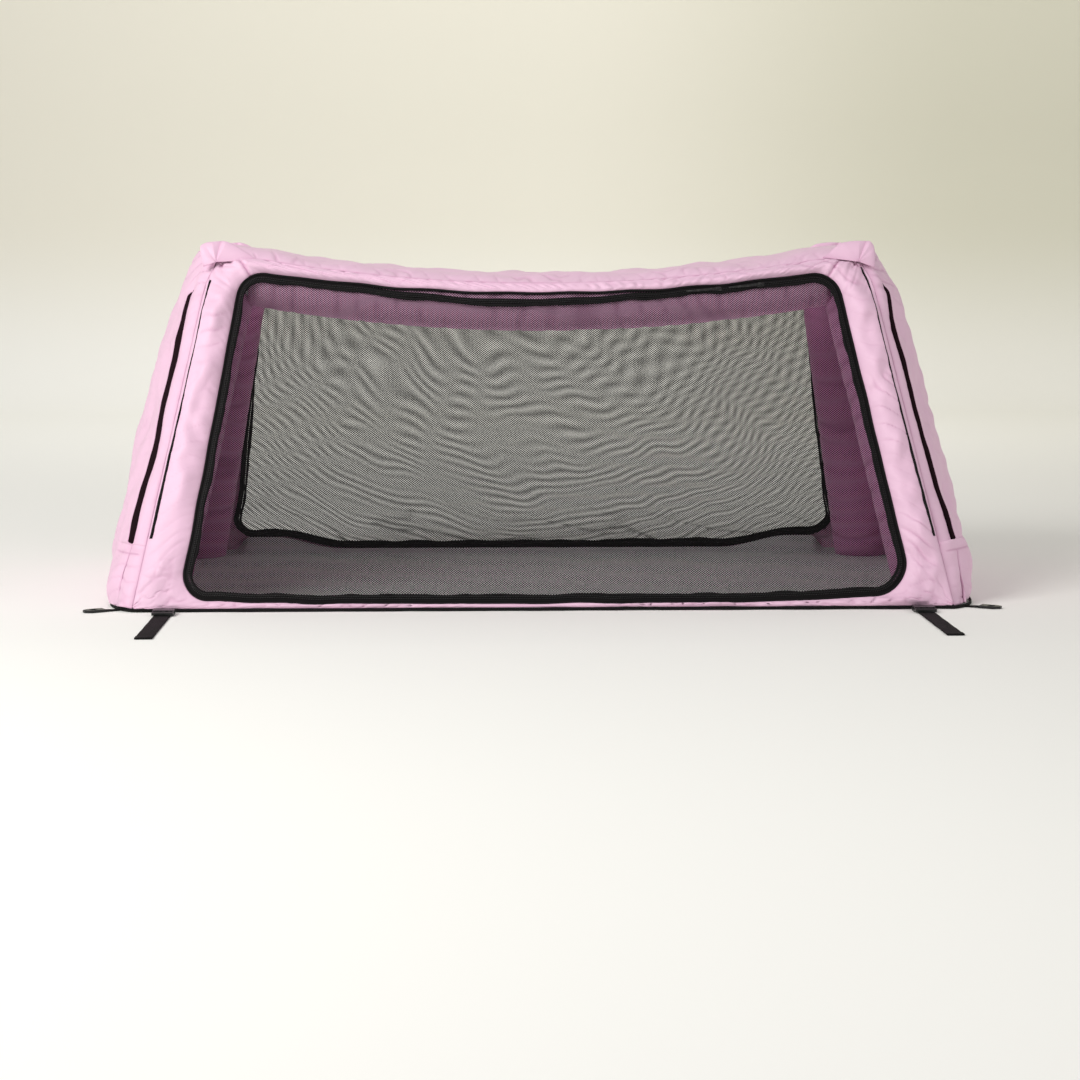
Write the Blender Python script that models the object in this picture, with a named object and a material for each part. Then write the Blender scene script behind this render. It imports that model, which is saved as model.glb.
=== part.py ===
"""Inflatable travel bed: a fabric cabin held up by inflated tubes, with a zipped mesh door
in the front and the back and webbing straps that tie it down.

Metres, +Z up. The origin is the middle of the base, the front faces -Y.
"""
import math

import bmesh
import bpy
import numpy as np

# Driving dimensions of the cabin
BASE_LENGTH = 1.99
BASE_DEPTH = 1.14
CORNER_HEIGHT = 0.836
ROOF_SAG = 0.075
FRONT_LEAN = 0.350
SEAM_INSET = 0.0575
SEAM_TAPER = 0.20
END_LEAN = 0.195
END_BULGE = 0.066
ROOF_ROLL = 0.022

# Fabric, trim and clearances
FABRIC = 0.0025
FLOOR_THICK = 0.003
MESH_THICK = 0.0015
GAP = 0.0004
SEAM_GAP = 0.003
ROOF_GAP = 0.0012
HEM_HEIGHT = 0.007
HEM_WIDTH = 0.005
PANEL_CROWN = 0.012
CROWN_ROOM = 0.08
WALL_RADIUS_BASE = 0.004
WALL_RADIUS_TOP = 0.012
SHARP_ANGLE = math.radians(40)

# Window and its zip
POST_PANEL = 0.1005
WINDOW_TAPER = 0.17
WINDOW_BOTTOM = 0.012
WINDOW_DROP = 0.064
HEADER_PANEL = 0.043
WINDOW_RADIUS_TOP = 0.075
WINDOW_RADIUS_BASE = 0.095
TAPE_WIDTH = 0.0135
TAPE_THICK = 0.0014
COIL_WIDTH = 0.003
COIL_HEIGHT = 0.0026

# Air tubes and their sleeves
POST_RADIUS = 0.068
POST_INSET = 0.042
BEAM_RADIUS = 0.055
TUBE_STANDOFF = 0.007
ROOF_STANDOFF = 0.020
SLEEVE = 0.0015
ARCH_DROP = 0.088
ARCH_BEND = 0.100
TUBE_SIDES = 14

# Zips in the end walls
END_ZIP_LOW = 0.145
END_ROWS = (0.05, 0.10, 0.24, 0.335, 0.445, 0.55, 0.66, 0.755, 0.90, 0.94)
END_ZIP_DROP = 0.106
END_ZIP_WIDTH = 0.016
END_ZIP_PROUD = 0.0010
END_ZIP_PLACE_LOW = 0.922
END_ZIP_PLACE_HIGH = 0.84

# Zip sliders and pulls
SLIDER_LENGTH = 0.018
SLIDER_WIDTH = 0.012
SLIDER_PLATE = 0.0016
SLIDER_PLACES = (0.419, 0.521)
SLIDER_SHAPE = ((-1.0, -0.6), (-0.3, -1.0), (1.0, -0.8), (1.0, 0.8), (-0.3, 1.0), (-1.0, 0.6))
PULL_LENGTH = 0.075
PULL_WIDTH = 0.007
PULL_THICK = 0.0016
PULL_RAIL = 0.0014
PULL_SHOULDER = 0.004
PULL_TIP = 0.3
BRIDGE_WALL = 0.0014

# Webbing and buckles
STRAP_INSET = 0.135
STRAP_WIDTH = 0.038
STRAP_THICK = 0.002
STRAP_LENGTH = 0.34
BUCKLE_LENGTH = 0.034
BUCKLE_WIDTH = 0.048
BUCKLE_HEIGHT = 0.012
BUCKLE_WALL = 0.002
BUCKLE_FIT = 0.0005
BUCKLE_RIM = 0.006
GUIDE_REACH = 0.01
SIDE_WINDOW = (0.003, 0.017)
SIDE_WINDOW_WALL = 0.003
PLUG_LENGTH = 0.018
ARM_WIDTH = 0.006
ARM_POINT = (0.003, 0.004)
TONGUE_HALF = (0.003, 0.002)
SLOT_PLACE = 0.006
SLOT_LENGTH = 0.008
SLOT_ROOM = 0.0015
TAB_FLAT = 0.004
TAB_REACH = 0.016
CORNER_TAB_PLACE = 0.93
CORNER_TAB_WIDTH = 0.025
CORNER_TAB_LENGTH = 0.030
CORNER_BUCKLE_LENGTH = 0.050
CORNER_BUCKLE_THICK = 0.006
CORNER_BUCKLE_RIM = 0.003
CORNER_TAB_FLAT = 0.006
CORNER_TAB_LIFT = 0.0015
CORNER_NOSE = (0.4, 0.014)
CORNER_SLOT = (0.6, 0.030, 0.016)

# Valve on each air frame
VALVE_RADIUS = 0.014
VALVE_BORE = 0.008
VALVE_RISE = 0.008
VALVE_PLACE = 0.25
VALVE_FOOT = 0.006
VALVE_EDGE = 0.0015
CAP_EDGE = 0.001
TURN_SIDES = 20
CAP_RADIUS = 0.013
CAP_HEIGHT = 0.006
CAP_RIBS = 9

HALF_LENGTH = BASE_LENGTH / 2
HALF_DEPTH = BASE_DEPTH / 2
ROOF_MID_HEIGHT = CORNER_HEIGHT - ROOF_SAG
SEAM_HALF_BASE = HALF_LENGTH - SEAM_INSET
WINDOW_HALF_BASE = SEAM_HALF_BASE - POST_PANEL
WINDOW_TOP = CORNER_HEIGHT - WINDOW_DROP
WINDOW_TOP_MID = ROOF_MID_HEIGHT - HEADER_PANEL
ARCH_TOP = CORNER_HEIGHT - ARCH_DROP
END_ZIP_HIGH = CORNER_HEIGHT - END_ZIP_DROP
STRAP_PLACE = HALF_LENGTH - STRAP_INSET
SLOPE = FRONT_LEAN / CORNER_HEIGHT
LEAN_ANGLE = math.atan(SLOPE)
SIDES = {"left": -1, "right": 1}
FACES = {"front": 1, "back": -1}


def clear_scene():
    for item in list(bpy.data.objects):
        bpy.data.objects.remove(item)


def material(name, colour, roughness, metallic=0.0):
    """A plain Principled finish from a linear colour."""
    made = bpy.data.materials.new(name)
    made.use_nodes = True
    shader = made.node_tree.nodes["Principled BSDF"]
    shader.inputs["Base Color"].default_value = (*colour, 1.0)
    shader.inputs["Roughness"].default_value = roughness
    shader.inputs["Metallic"].default_value = metallic
    return made


def make_object(name, points, faces, finish, origin=(0.0, 0.0, 0.0)):
    """One closed body from points and faces, with its faces turned outwards."""
    mesh = bpy.data.meshes.new(name)
    base = np.asarray(origin, dtype=float)
    mesh.from_pydata((np.asarray(points) - base).tolist(), [], faces)
    solid = bmesh.new()
    solid.from_mesh(mesh)
    bmesh.ops.recalc_face_normals(solid, faces=solid.faces)
    solid.to_mesh(mesh)
    solid.free()
    mesh.shade_smooth()
    mesh.set_sharp_from_angle(angle=SHARP_ANGLE)
    mesh.materials.append(finish)
    made = bpy.data.objects.new(name, mesh)
    made.location = origin
    bpy.context.collection.objects.link(made)
    return made


def combine(target, guide, operation):
    """Cut a guide out of the target, or join it on, and keep the guide hidden."""
    guide.hide_render = True
    guide.display_type = "WIRE"
    step = target.modifiers.new(guide.name, "BOOLEAN")
    step.operation = operation
    step.solver = "EXACT"
    step.object = guide


def cut(target, cutter):
    combine(target, cutter, "DIFFERENCE")


def join(target, addition):
    combine(target, addition, "UNION")


def loop_faces(count_u, count_v):
    """Quads of a grid that closes on itself both ways, like a ring."""
    faces = []
    for i in range(count_u):
        for j in range(count_v):
            a = i * count_v + j
            b = i * count_v + (j + 1) % count_v
            c = ((i + 1) % count_u) * count_v
            faces.append((a, b, c + (j + 1) % count_v, c + j))
    return faces


def ring_object(name, rings, finish, origin=(0.0, 0.0, 0.0)):
    """A closed ring from an array of loop places by section corners."""
    count_u, count_v = rings.shape[:2]
    return make_object(name, rings.reshape(-1, 3), loop_faces(count_u, count_v), finish, origin)


def sheet_object(name, outer, inner, finish, keep=None, origin=(0.0, 0.0, 0.0)):
    """A sheet with thickness from two grids; cells marked False in keep are holes."""
    rows, columns = outer.shape[:2]
    if keep is None:
        keep = np.ones((rows - 1, columns - 1), dtype=bool)
    half = rows * columns
    faces = []

    def kept(i, j):
        return 0 <= i < rows - 1 and 0 <= j < columns - 1 and keep[i, j]

    for i in range(rows - 1):
        for j in range(columns - 1):
            if not keep[i, j]:
                continue
            corner = (i * columns + j, i * columns + j + 1)
            far = (corner[0] + columns, corner[1] + columns)
            faces.append((corner[0], corner[1], far[1], far[0]))
            faces.append((half + corner[0], half + far[0], half + far[1], half + corner[1]))
            rims = (
                (kept(i - 1, j), corner[0], corner[1]),
                (kept(i + 1, j), far[1], far[0]),
                (kept(i, j - 1), far[0], corner[0]),
                (kept(i, j + 1), corner[1], far[1]),
            )
            for covered, first, last in rims:
                if not covered:
                    faces.append((last, first, half + first, half + last))
    points = np.concatenate([outer.reshape(-1, 3), inner.reshape(-1, 3)])
    used = sorted({index for face in faces for index in face})
    renumber = {old: new for new, old in enumerate(used)}
    faces = [tuple(renumber[index] for index in face) for face in faces]
    return make_object(name, points[used], faces, finish, origin)


def surface_normals(grid):
    """Unit normals of a grid of points, by the cross product of its two directions."""
    along = np.gradient(grid, axis=0)
    across = np.gradient(grid, axis=1)
    normal = np.cross(along, across)
    return normal / np.linalg.norm(normal, axis=2, keepdims=True)


def plate_object(name, outline, shift, finish, origin=(0.0, 0.0, 0.0)):
    """A flat plate: an outline and its copy moved by the shift."""
    count = len(outline)
    points = np.concatenate([outline, outline + np.asarray(shift)])
    faces = [tuple(range(count)), tuple(range(2 * count - 1, count - 1, -1))]
    for i in range(count):
        after = (i + 1) % count
        faces.append((i, after, count + after, count + i))
    return make_object(name, points, faces, finish, origin)


def box_points(low, high):
    """The eight corners of a box."""
    return np.array([[(low, high)[(k >> a) & 1][a] for a in range(3)] for k in range(8)])


BOX_FACES = [(0, 2, 3, 1), (4, 5, 7, 6), (0, 1, 5, 4), (2, 6, 7, 3), (0, 4, 6, 2), (1, 3, 7, 5)]


def turned_object(name, profile, centre, axis, finish, sides, ribs=0, origin=None):
    """A body turned about an axis from a profile of radius and height, axis to axis.

    With ribs, the widest part waves in and out as a grip.
    """
    axis = np.asarray(axis, dtype=float)
    side = np.cross(axis, [0.0, 0.0, 1.0])
    side /= np.linalg.norm(side)
    up = np.cross(axis, side)
    profile = np.asarray(profile)
    widest = profile[:, 0].max()
    turn = np.arange(sides) * 2 * math.pi / sides
    rings = []
    for radius, height in profile[1:-1]:
        wave = 1.0 - 0.03 * (1 + np.cos(ribs * turn)) * (ribs > 0 and radius > 0.98 * widest)
        spread = radius * wave[:, None]
        rings.append(centre + height * axis + spread * (np.cos(turn)[:, None] * side
                                                        + np.sin(turn)[:, None] * up))
    count = len(rings)
    points = np.concatenate(rings + [[centre + profile[0, 1] * axis], [centre + profile[-1, 1] * axis]])
    faces = []
    for i in range(count - 1):
        for j in range(sides):
            k = (j + 1) % sides
            faces.append((i * sides + j, i * sides + k, (i + 1) * sides + k, (i + 1) * sides + j))
    for j in range(sides):
        k = (j + 1) % sides
        faces.append((j, k, count * sides))
        faces.append(((count - 1) * sides + j, (count - 1) * sides + k, count * sides + 1))
    return make_object(name, points, faces, finish, centre if origin is None else origin)


def path_frames(path):
    """Two unit directions square to a path, carried along it without twist."""
    tangent = np.gradient(path, axis=0)
    tangent /= np.linalg.norm(tangent, axis=1, keepdims=True)
    side = np.zeros_like(path)
    start = np.array([1.0, 0.0, 0.0])
    if abs(tangent[0] @ start) > 0.9:
        start = np.array([0.0, 1.0, 0.0])
    for i, direction in enumerate(tangent):
        start = start - (start @ direction) * direction
        start = start / np.linalg.norm(start)
        side[i] = start
    return side, np.cross(tangent, side)


def tube_rings(path, radius, sides, level_ends):
    """Circles square to a path; with level_ends the first and last are cut level."""
    side, up = path_frames(path)
    turn = np.arange(sides) * 2 * math.pi / sides
    rings = (path[:, None, :] + radius * (np.cos(turn)[None, :, None] * side[:, None, :]
                                          + np.sin(turn)[None, :, None] * up[:, None, :]))
    if level_ends:
        for end, beside in ((0, 1), (-1, -2)):
            slope = path[beside] - path[end]
            rise = path[end, 2] - rings[end, :, 2]
            rings[end] += rise[:, None] / slope[2] * slope
    return rings


def pipe_object(name, path, radius, wall, sides, finish, level_ends=False):
    """A pipe open at both ends."""
    outer = tube_rings(path, radius, sides, level_ends)
    inner = tube_rings(path, radius - wall, sides, level_ends)
    rings = np.concatenate([outer, inner[::-1]])
    return ring_object(name, rings, finish)


def rod_object(name, path, radius, sides, finish, level_ends=False):
    """A solid tube with closed ends."""
    rings = tube_rings(path, radius, sides, level_ends)
    count = len(path)
    faces = [f for f in loop_faces(count, sides) if max(f) - min(f) < 2 * sides]
    faces.append(tuple(range(sides)))
    faces.append(tuple(range(count * sides - 1, (count - 1) * sides - 1, -1)))
    return make_object(name, rings.reshape(-1, 3), faces, finish)


def front_y(z):
    """Where the leaning front wall stands at a height; the back wall mirrors it."""
    return -(HALF_DEPTH - SLOPE * z)


def seam_half(z):
    """Half the width of the front wall at a height, out to the corner seam."""
    return SEAM_HALF_BASE - SEAM_TAPER * z


def roof_line(x):
    """The roof sags from its corners to its middle along a parabola."""
    corner = seam_half(CORNER_HEIGHT)
    return ROOF_MID_HEIGHT + (CORNER_HEIGHT - ROOF_MID_HEIGHT) * (x / corner) ** 2


def header_line(x):
    """The seam under the rolled roof edge, where the front wall stops."""
    return roof_line(x) - ROOF_ROLL


WALL_BOTTOM = HEM_HEIGHT + GAP + FABRIC * math.sin(LEAN_ANGLE)
HEADER_TOP = header_line(seam_half(CORNER_HEIGHT))


def window_line(x):
    """The sagging top edge of the window."""
    corner = WINDOW_HALF_BASE - WINDOW_TAPER * WINDOW_TOP
    return WINDOW_TOP_MID + (WINDOW_TOP - WINDOW_TOP_MID) * (x / corner) ** 2


def end_point(t, z):
    """The end wall: t runs from the front seam, -1, to the back seam, 1."""
    up = np.clip(z / CORNER_HEIGHT, 0.0, 1.0)
    depth = -front_y(z)
    seam = seam_half(z) + SEAM_GAP
    middle = HALF_LENGTH - END_LEAN * up + END_BULGE * np.sqrt(np.sin(math.pi * up))
    square = 2.5 + 8.0 * np.clip(1.0 - 2.0 * up, 0.0, 1.0) ** 2
    x = seam + (middle - seam) * (1.0 - np.abs(t) ** square)
    return np.stack([x, depth * t + 0.0 * z, z + 0.0 * t], axis=-1)


def rounded_outline(corners, radii, steps_arc, steps_edge):
    """A polygon, taken anticlockwise, with round corners and points along its edges."""
    count = len(corners)
    points = []
    ends = []
    for i in range(count):
        here = np.array(corners[i])
        before = here - np.array(corners[i - 1])
        after = np.array(corners[(i + 1) % count]) - here
        before = before / np.linalg.norm(before)
        after = after / np.linalg.norm(after)
        turn = math.acos(np.clip(before @ after, -1.0, 1.0))
        reach = radii[i] * math.tan(turn / 2)
        centre = here - before * reach + radii[i] * np.array([-before[1], before[0]])
        start = math.atan2(-before[0], before[1])
        angles = start + np.linspace(0.0, turn, steps_arc)
        arc = centre + radii[i] * np.stack([np.cos(angles), np.sin(angles)], axis=1)
        ends.append(arc)
    for i in range(count):
        points.append(ends[i])
        first = ends[i][-1]
        last = ends[(i + 1) % count][0]
        share = np.linspace(0.0, 1.0, steps_edge[i] + 1)[1:-1, None]
        points.append(first + (last - first) * share)
    return np.concatenate(points)


ARC_STEPS = 7
EDGE_STEPS = (14, 5, 14, 5)


def sagged(flat, low, high, half, line):
    """Bend a straight top edge, half wide to each side at height high, to a sagging line."""
    weight = (flat[:, 1] - low) / (high - low)
    drop = (line(np.minimum(np.abs(flat[:, 0]), half)) - high) * weight
    return np.stack([flat[:, 0], flat[:, 1] + drop], axis=1)


def window_outline():
    """The outer edge of the window's zip, in x and height."""
    low = WINDOW_HALF_BASE - WINDOW_TAPER * WINDOW_BOTTOM
    high = WINDOW_HALF_BASE - WINDOW_TAPER * WINDOW_TOP
    corners = [(-low, WINDOW_BOTTOM), (low, WINDOW_BOTTOM), (high, WINDOW_TOP), (-high, WINDOW_TOP)]
    radii = (WINDOW_RADIUS_BASE, WINDOW_RADIUS_BASE, WINDOW_RADIUS_TOP, WINDOW_RADIUS_TOP)
    flat = rounded_outline(corners, radii, ARC_STEPS, EDGE_STEPS)
    return sagged(flat, WINDOW_BOTTOM, WINDOW_TOP, high, window_line)


def wall_outline():
    """The outer edge of the front wall, in x and height."""
    low = WALL_BOTTOM
    high = HEADER_TOP
    corners = [(-seam_half(low), low), (seam_half(low), low), (seam_half(high), high),
               (-seam_half(high), high)]
    radii = (WALL_RADIUS_BASE, WALL_RADIUS_BASE, WALL_RADIUS_TOP, WALL_RADIUS_TOP)
    flat = rounded_outline(corners, radii, ARC_STEPS, EDGE_STEPS)
    return sagged(flat, low, high, seam_half(high), header_line)


def inset(outline, amount):
    """Move a closed outline inwards by an amount."""
    along = np.roll(outline, -1, axis=0) - np.roll(outline, 1, axis=0)
    along /= np.linalg.norm(along, axis=1, keepdims=True)
    return outline + amount * np.stack([-along[:, 1], along[:, 0]], axis=1)


def on_wall(flat, out, face):
    """Places on the front or back wall, lifted out of it square to its slope."""
    lift_y = -math.cos(LEAN_ANGLE)
    lift_z = math.sin(LEAN_ANGLE)
    z = flat[..., 1] + out * lift_z
    y = front_y(flat[..., 1]) + out * lift_y
    return np.stack([flat[..., 0] + 0.0 * z, face * y, z], axis=-1)


def section_ring(outline, section, face):
    """Carry a section, given as inward and outward distances, round an outline."""
    rings = [on_wall(inset(outline, inward), outward, face) for inward, outward in section]
    return np.stack(rings, axis=1)


def make_wall(face_name, face, finish):
    """The fabric round the window, slightly crowned over the tubes behind it.

    The back wall is cut as one frame. The front one, whose top zip is opened most, has a header
    panel of its own between the ends of the beam's seams.
    """
    outer = wall_outline()
    inner = inset(window_outline(), -GAP)
    room = np.linalg.norm(outer - inner, axis=1)
    shown = []
    hidden = []
    for share in (0.0, 0.3, 0.7, 1.0):
        flat = outer * (1 - share) + inner * share
        crown = PANEL_CROWN * math.sin(math.pi * share) * np.clip(room / CROWN_ROOM, 0.0, 1.0)
        shown.append(on_wall(flat, crown, face))
        hidden.append(on_wall(flat, crown - FABRIC, face))
    sheet = np.stack([np.stack(shown, axis=1), np.stack(hidden, axis=1)])
    if face < 0:
        frame = np.concatenate([sheet[0], sheet[1][:, ::-1]], axis=1)
        return ring_object(face_name + "_wall", frame, finish)
    right = 3 * ARC_STEPS + sum(EDGE_STEPS[:2]) - 3
    left = right + EDGE_STEPS[2]
    header = sheet[:, right:left + 1].copy()
    header[:, 0, :, 0] -= GAP
    header[:, -1, :, 0] += GAP
    posts = np.concatenate([sheet[:, left:], sheet[:, :right + 1]], axis=1)
    sheet_object(face_name + "_header_panel", header[0], header[1], finish)
    return sheet_object(face_name + "_wall", posts[0], posts[1], finish)


def make_zip_tapes(face_name, face, finish, hinge):
    """The two halves of the window zip: one on the wall, one on the door."""
    outline = window_outline()
    top = TAPE_THICK / 2
    ridge = top + COIL_HEIGHT
    fixed = [(0.0, -top), (0.0, top), (TAPE_WIDTH - COIL_WIDTH, top), (TAPE_WIDTH - COIL_WIDTH / 2, ridge),
             (TAPE_WIDTH, ridge - COIL_WIDTH / 4), (TAPE_WIDTH, -top)]
    ring_object(face_name + "_zip_wall_tape", section_ring(outline, fixed, face), finish)
    start = TAPE_WIDTH + GAP
    stop = 2 * TAPE_WIDTH
    moving = [(start, -top), (start, ridge - COIL_WIDTH / 4), (start + COIL_WIDTH / 2, ridge),
              (start + COIL_WIDTH, top), (stop, top), (stop, -top)]
    ring_object(face_name + "_zip_door_tape", section_ring(outline, moving, face), finish, hinge)


def make_mesh_door(face_name, face, finish, hinge):
    """The mesh of the door, a flat sheet inside its zip."""
    flat = inset(window_outline(), 2 * TAPE_WIDTH + GAP)
    back = on_wall(flat, -MESH_THICK / 2, face)
    front = on_wall(flat, MESH_THICK / 2, face)
    plate_object(face_name + "_mesh_door", back, front[0] - back[0], finish, hinge)


def window_height(x, inward):
    """Height of the window's top edge on the slope, moved inwards."""
    outline = inset(window_outline(), inward)
    top = outline[outline[:, 1] > WINDOW_BOTTOM + 0.5 * (WINDOW_TOP - WINDOW_BOTTOM)]
    top = top[np.argsort(top[:, 0])]
    return float(np.interp(x, top[:, 0], top[:, 1]))


def slider_frame(x, face):
    """Middle, direction along the zip, direction down the wall and direction out of it."""
    step = 0.01
    flat = np.array([[x - step, window_height(x - step, TAPE_WIDTH)],
                     [x, window_height(x, TAPE_WIDTH)],
                     [x + step, window_height(x + step, TAPE_WIDTH)]])
    places = on_wall(flat, 0.0, face)
    along = places[2] - places[0]
    along = along / np.linalg.norm(along)
    out = np.array([0.0, -face * math.cos(LEAN_ANGLE), math.sin(LEAN_ANGLE)])
    return places[1], along, np.cross(along, out) * face, out


def framed(points, centre, along, down, out):
    """Take points given as distances along, down and out to their place."""
    local = np.asarray(points)
    return centre + local[:, :1] * along + local[:, 1:2] * down + local[:, 2:] * out


def arc_points(radius, start, stop, steps):
    """Points on an arc, as distances along and out."""
    angles = np.radians(np.linspace(start, stop, steps))
    return [(radius * math.cos(a), radius * math.sin(a)) for a in angles]


def make_slider(face_name, face, index, x, finish):
    """A slider over the coil: its bridge arches over the cross bar of a long pull."""
    centre, along, down, out = slider_frame(x, face)
    ridge = TAPE_THICK / 2 + COIL_HEIGHT + GAP
    half = SLIDER_LENGTH / 2
    wide = SLIDER_WIDTH / 2
    name = f"{face_name}_slider_{index}"
    low = np.array([(a * half, b * wide, ridge) for a, b in SLIDER_SHAPE])
    body = plate_object(name, framed(low, centre, along, down, out), out * SLIDER_PLATE, finish, centre)
    bar = PULL_THICK / 2
    bore = bar * math.sqrt(2) + GAP
    rim = bore + BRIDGE_WALL
    eye = centre + out * (ridge + SLIDER_PLATE + bore)
    slot = PULL_WIDTH / 2 - PULL_RAIL
    foot = -bore - SLIDER_PLATE / 2
    arch = [(rim, foot)] + arc_points(rim, 0, 180, 9) + [(-rim, foot), (-bore, foot)]
    arch += arc_points(bore, 180, 0, 9) + [(bore, foot)]
    side = np.array([(a, -slot + GAP, b) for a, b in arch])
    join(body, plate_object(name + "_bridge_guide", framed(side, eye, along, down, out),
                            2 * (slot - GAP) * down, finish, centre))
    reach = rim + GAP
    flat = [(bar, -PULL_WIDTH / 2), (bar, PULL_WIDTH / 2), (-reach - PULL_SHOULDER, PULL_WIDTH / 2),
            (-PULL_LENGTH, PULL_TIP * PULL_WIDTH), (-PULL_LENGTH, -PULL_TIP * PULL_WIDTH),
            (-reach - PULL_SHOULDER, -PULL_WIDTH / 2)]
    low = np.array([(a, b, -bar) for a, b in flat])
    pull = plate_object(f"{face_name}_pull_{index}", framed(low, eye, along, down, out),
                        out * PULL_THICK, finish, eye)
    window = box_points((-reach, -slot, -PULL_THICK), (-bar, slot, PULL_THICK))
    cut(pull, make_object(f"{face_name}_pull_{index}_guide", framed(window, eye, along, down, out),
                          BOX_FACES, finish, eye))


def make_end_wall(side_name, side, fabric, tape):
    """The bulging end wall with a slot near each corner, and the zip in each slot."""
    rows = np.array([WALL_BOTTOM, END_ZIP_LOW, END_ZIP_HIGH, HEADER_TOP])
    rows = np.sort(np.concatenate([rows, CORNER_HEIGHT * np.array(END_ROWS)]))
    share = np.clip((rows - END_ZIP_LOW) / (END_ZIP_HIGH - END_ZIP_LOW), 0.0, 1.0)
    place = END_ZIP_PLACE_LOW + (END_ZIP_PLACE_HIGH - END_ZIP_PLACE_LOW) * share
    half = END_ZIP_WIDTH / 2 / (-front_y(rows))
    inner = (place - half)[:, None] * np.linspace(-1.0, 1.0, 13)[None, :]
    front = [-1.0 + 0.0 * place, -(1.0 + (place + half)) / 2, -(place + half)]
    back = [-column for column in front[::-1]]
    t = np.concatenate([np.stack(front, axis=1), inner, np.stack(back, axis=1)], axis=1)
    z = np.repeat(rows[:, None], t.shape[1], axis=1)
    outer = end_point(t, z)
    normal = surface_normals(outer)
    normal *= np.sign(normal[:, :, :1].mean())
    within = outer - FABRIC * normal
    mirror = np.array([side, 1.0, 1.0])
    keep = np.ones((len(rows) - 1, t.shape[1] - 1), dtype=bool)
    low = int(np.argmin(np.abs(rows - END_ZIP_LOW)))
    high = int(np.argmin(np.abs(rows - END_ZIP_HIGH)))
    slots = (2, t.shape[1] - 4)
    for column in slots:
        keep[low:high, column] = False
    sheet_object(f"{side_name}_end_wall", outer * mirror, within * mirror, fabric, keep)
    for face_name, column in zip(("front", "back"), slots):
        strip_t = t[low:high + 1, column:column + 2].copy()
        strip_z = z[low:high + 1, column:column + 2].copy()
        squeeze = GAP / END_ZIP_WIDTH
        middle = strip_t.mean(axis=1, keepdims=True)
        strip_t = middle + (strip_t - middle) * (1 - 2 * squeeze)
        strip_z[0] += GAP
        strip_z[-1] -= GAP
        strip = end_point(strip_t, strip_z)
        lift = normal[low:high + 1, column:column + 2]
        sheet_object(f"{side_name}_{face_name}_end_zip", (strip + END_ZIP_PROUD * lift) * mirror,
                     (strip - FABRIC * lift) * mirror, tape)


def roof_grid(lower):
    """The roof, rolled down at its edges to meet the walls."""
    across = np.linspace(-1.0, 1.0, 13)
    across = np.sign(across) * np.abs(across) ** 0.7
    along = np.linspace(-1.0, 1.0, 25)
    u, v = np.meshgrid(along, across, indexing="ij")
    x = u * end_point(v, np.full_like(v, HEADER_TOP))[..., 0]
    edge = header_line(np.minimum(np.abs(x), seam_half(CORNER_HEIGHT)))
    y = v * -front_y(edge)
    roll = np.maximum(np.abs(v) ** 8, np.abs(u) ** 14)
    z = edge + ROOF_ROLL - (ROOF_ROLL - FABRIC - ROOF_GAP) * roll
    grid = np.stack([x, y, z], axis=-1)
    if not lower:
        return grid
    normal = surface_normals(grid)
    normal *= np.sign(normal[:, :, 2:].mean())
    return grid - FABRIC * np.array([0.0, 0.0, 1.0]) * np.maximum(normal[:, :, 2:], 0.35)


def make_roof(finish):
    sheet_object("roof_panel", roof_grid(False), roof_grid(True), finish)


def base_loop(grow):
    """The outline of the base, moved out by grow, as x and y."""
    level = HEM_HEIGHT
    t = np.linspace(-1.0, 1.0, 25)
    t = np.sign(t) * np.abs(t) ** 0.35
    end = end_point(t, np.full_like(t, level))[:, :2]
    front = np.linspace(-1.0, 1.0, 13)[1:-1, None] * np.array([[seam_half(level), 0.0]])
    front = front + np.array([[0.0, front_y(level)]])
    loop = np.concatenate([front, end, -front, -end])
    along = np.roll(loop, -1, axis=0) - np.roll(loop, 1, axis=0)
    along /= np.linalg.norm(along, axis=1, keepdims=True)
    return loop + grow * np.stack([along[:, 1], -along[:, 0]], axis=1)


def make_base(fabric, webbing):
    """The floor sheet and the binding round its edge."""
    within = base_loop(-HEM_WIDTH / 2)
    out = base_loop(HEM_WIDTH / 2)
    corners = [(within, 0.0), (out, 0.0), (out, HEM_HEIGHT), (within, HEM_HEIGHT)]
    rings = np.stack([np.concatenate([loop, np.full((len(loop), 1), level)], axis=1)
                      for loop, level in corners], axis=1)
    ring_object("base_binding", rings, webbing)
    edge = base_loop(-HEM_WIDTH / 2 - GAP)
    outline = np.concatenate([edge, np.zeros((len(edge), 1))], axis=1)
    plate_object("floor_panel", outline, (0.0, 0.0, FLOOR_THICK), fabric)


def post_centre(z, side):
    """Middle of a front corner tube at a height."""
    y = front_y(z) + (POST_RADIUS + TUBE_STANDOFF) / math.cos(LEAN_ANGLE)
    return np.array([side * (seam_half(z) - POST_INSET), y, z])


def arch_path(side, lift):
    """Up the front corner, over the top and down the back corner, with round bends."""
    low = post_centre(FLOOR_THICK + lift, side)
    top = post_centre(ARCH_TOP, side)
    rise = (top - low) / np.linalg.norm(top - low)
    level = np.array([0.0, 1.0, 0.0])
    turn = math.acos(rise @ level)
    reach = ARCH_BEND * math.tan(turn / 2)
    toward = level - (level @ rise) * rise
    toward = toward / np.linalg.norm(toward)
    centre = top - rise * reach + toward * ARCH_BEND
    angles = np.linspace(0.0, turn, 8)[:, None]
    bend = centre - ARCH_BEND * (np.cos(angles) * toward - np.sin(angles) * rise)
    straight = low + (bend[0] - low) * np.linspace(0.0, 1.0, 5)[:-1, None]
    half = np.concatenate([straight, bend])
    other = half[::-1] * np.array([1.0, -1.0, 1.0])
    return np.concatenate([half, other])


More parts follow.
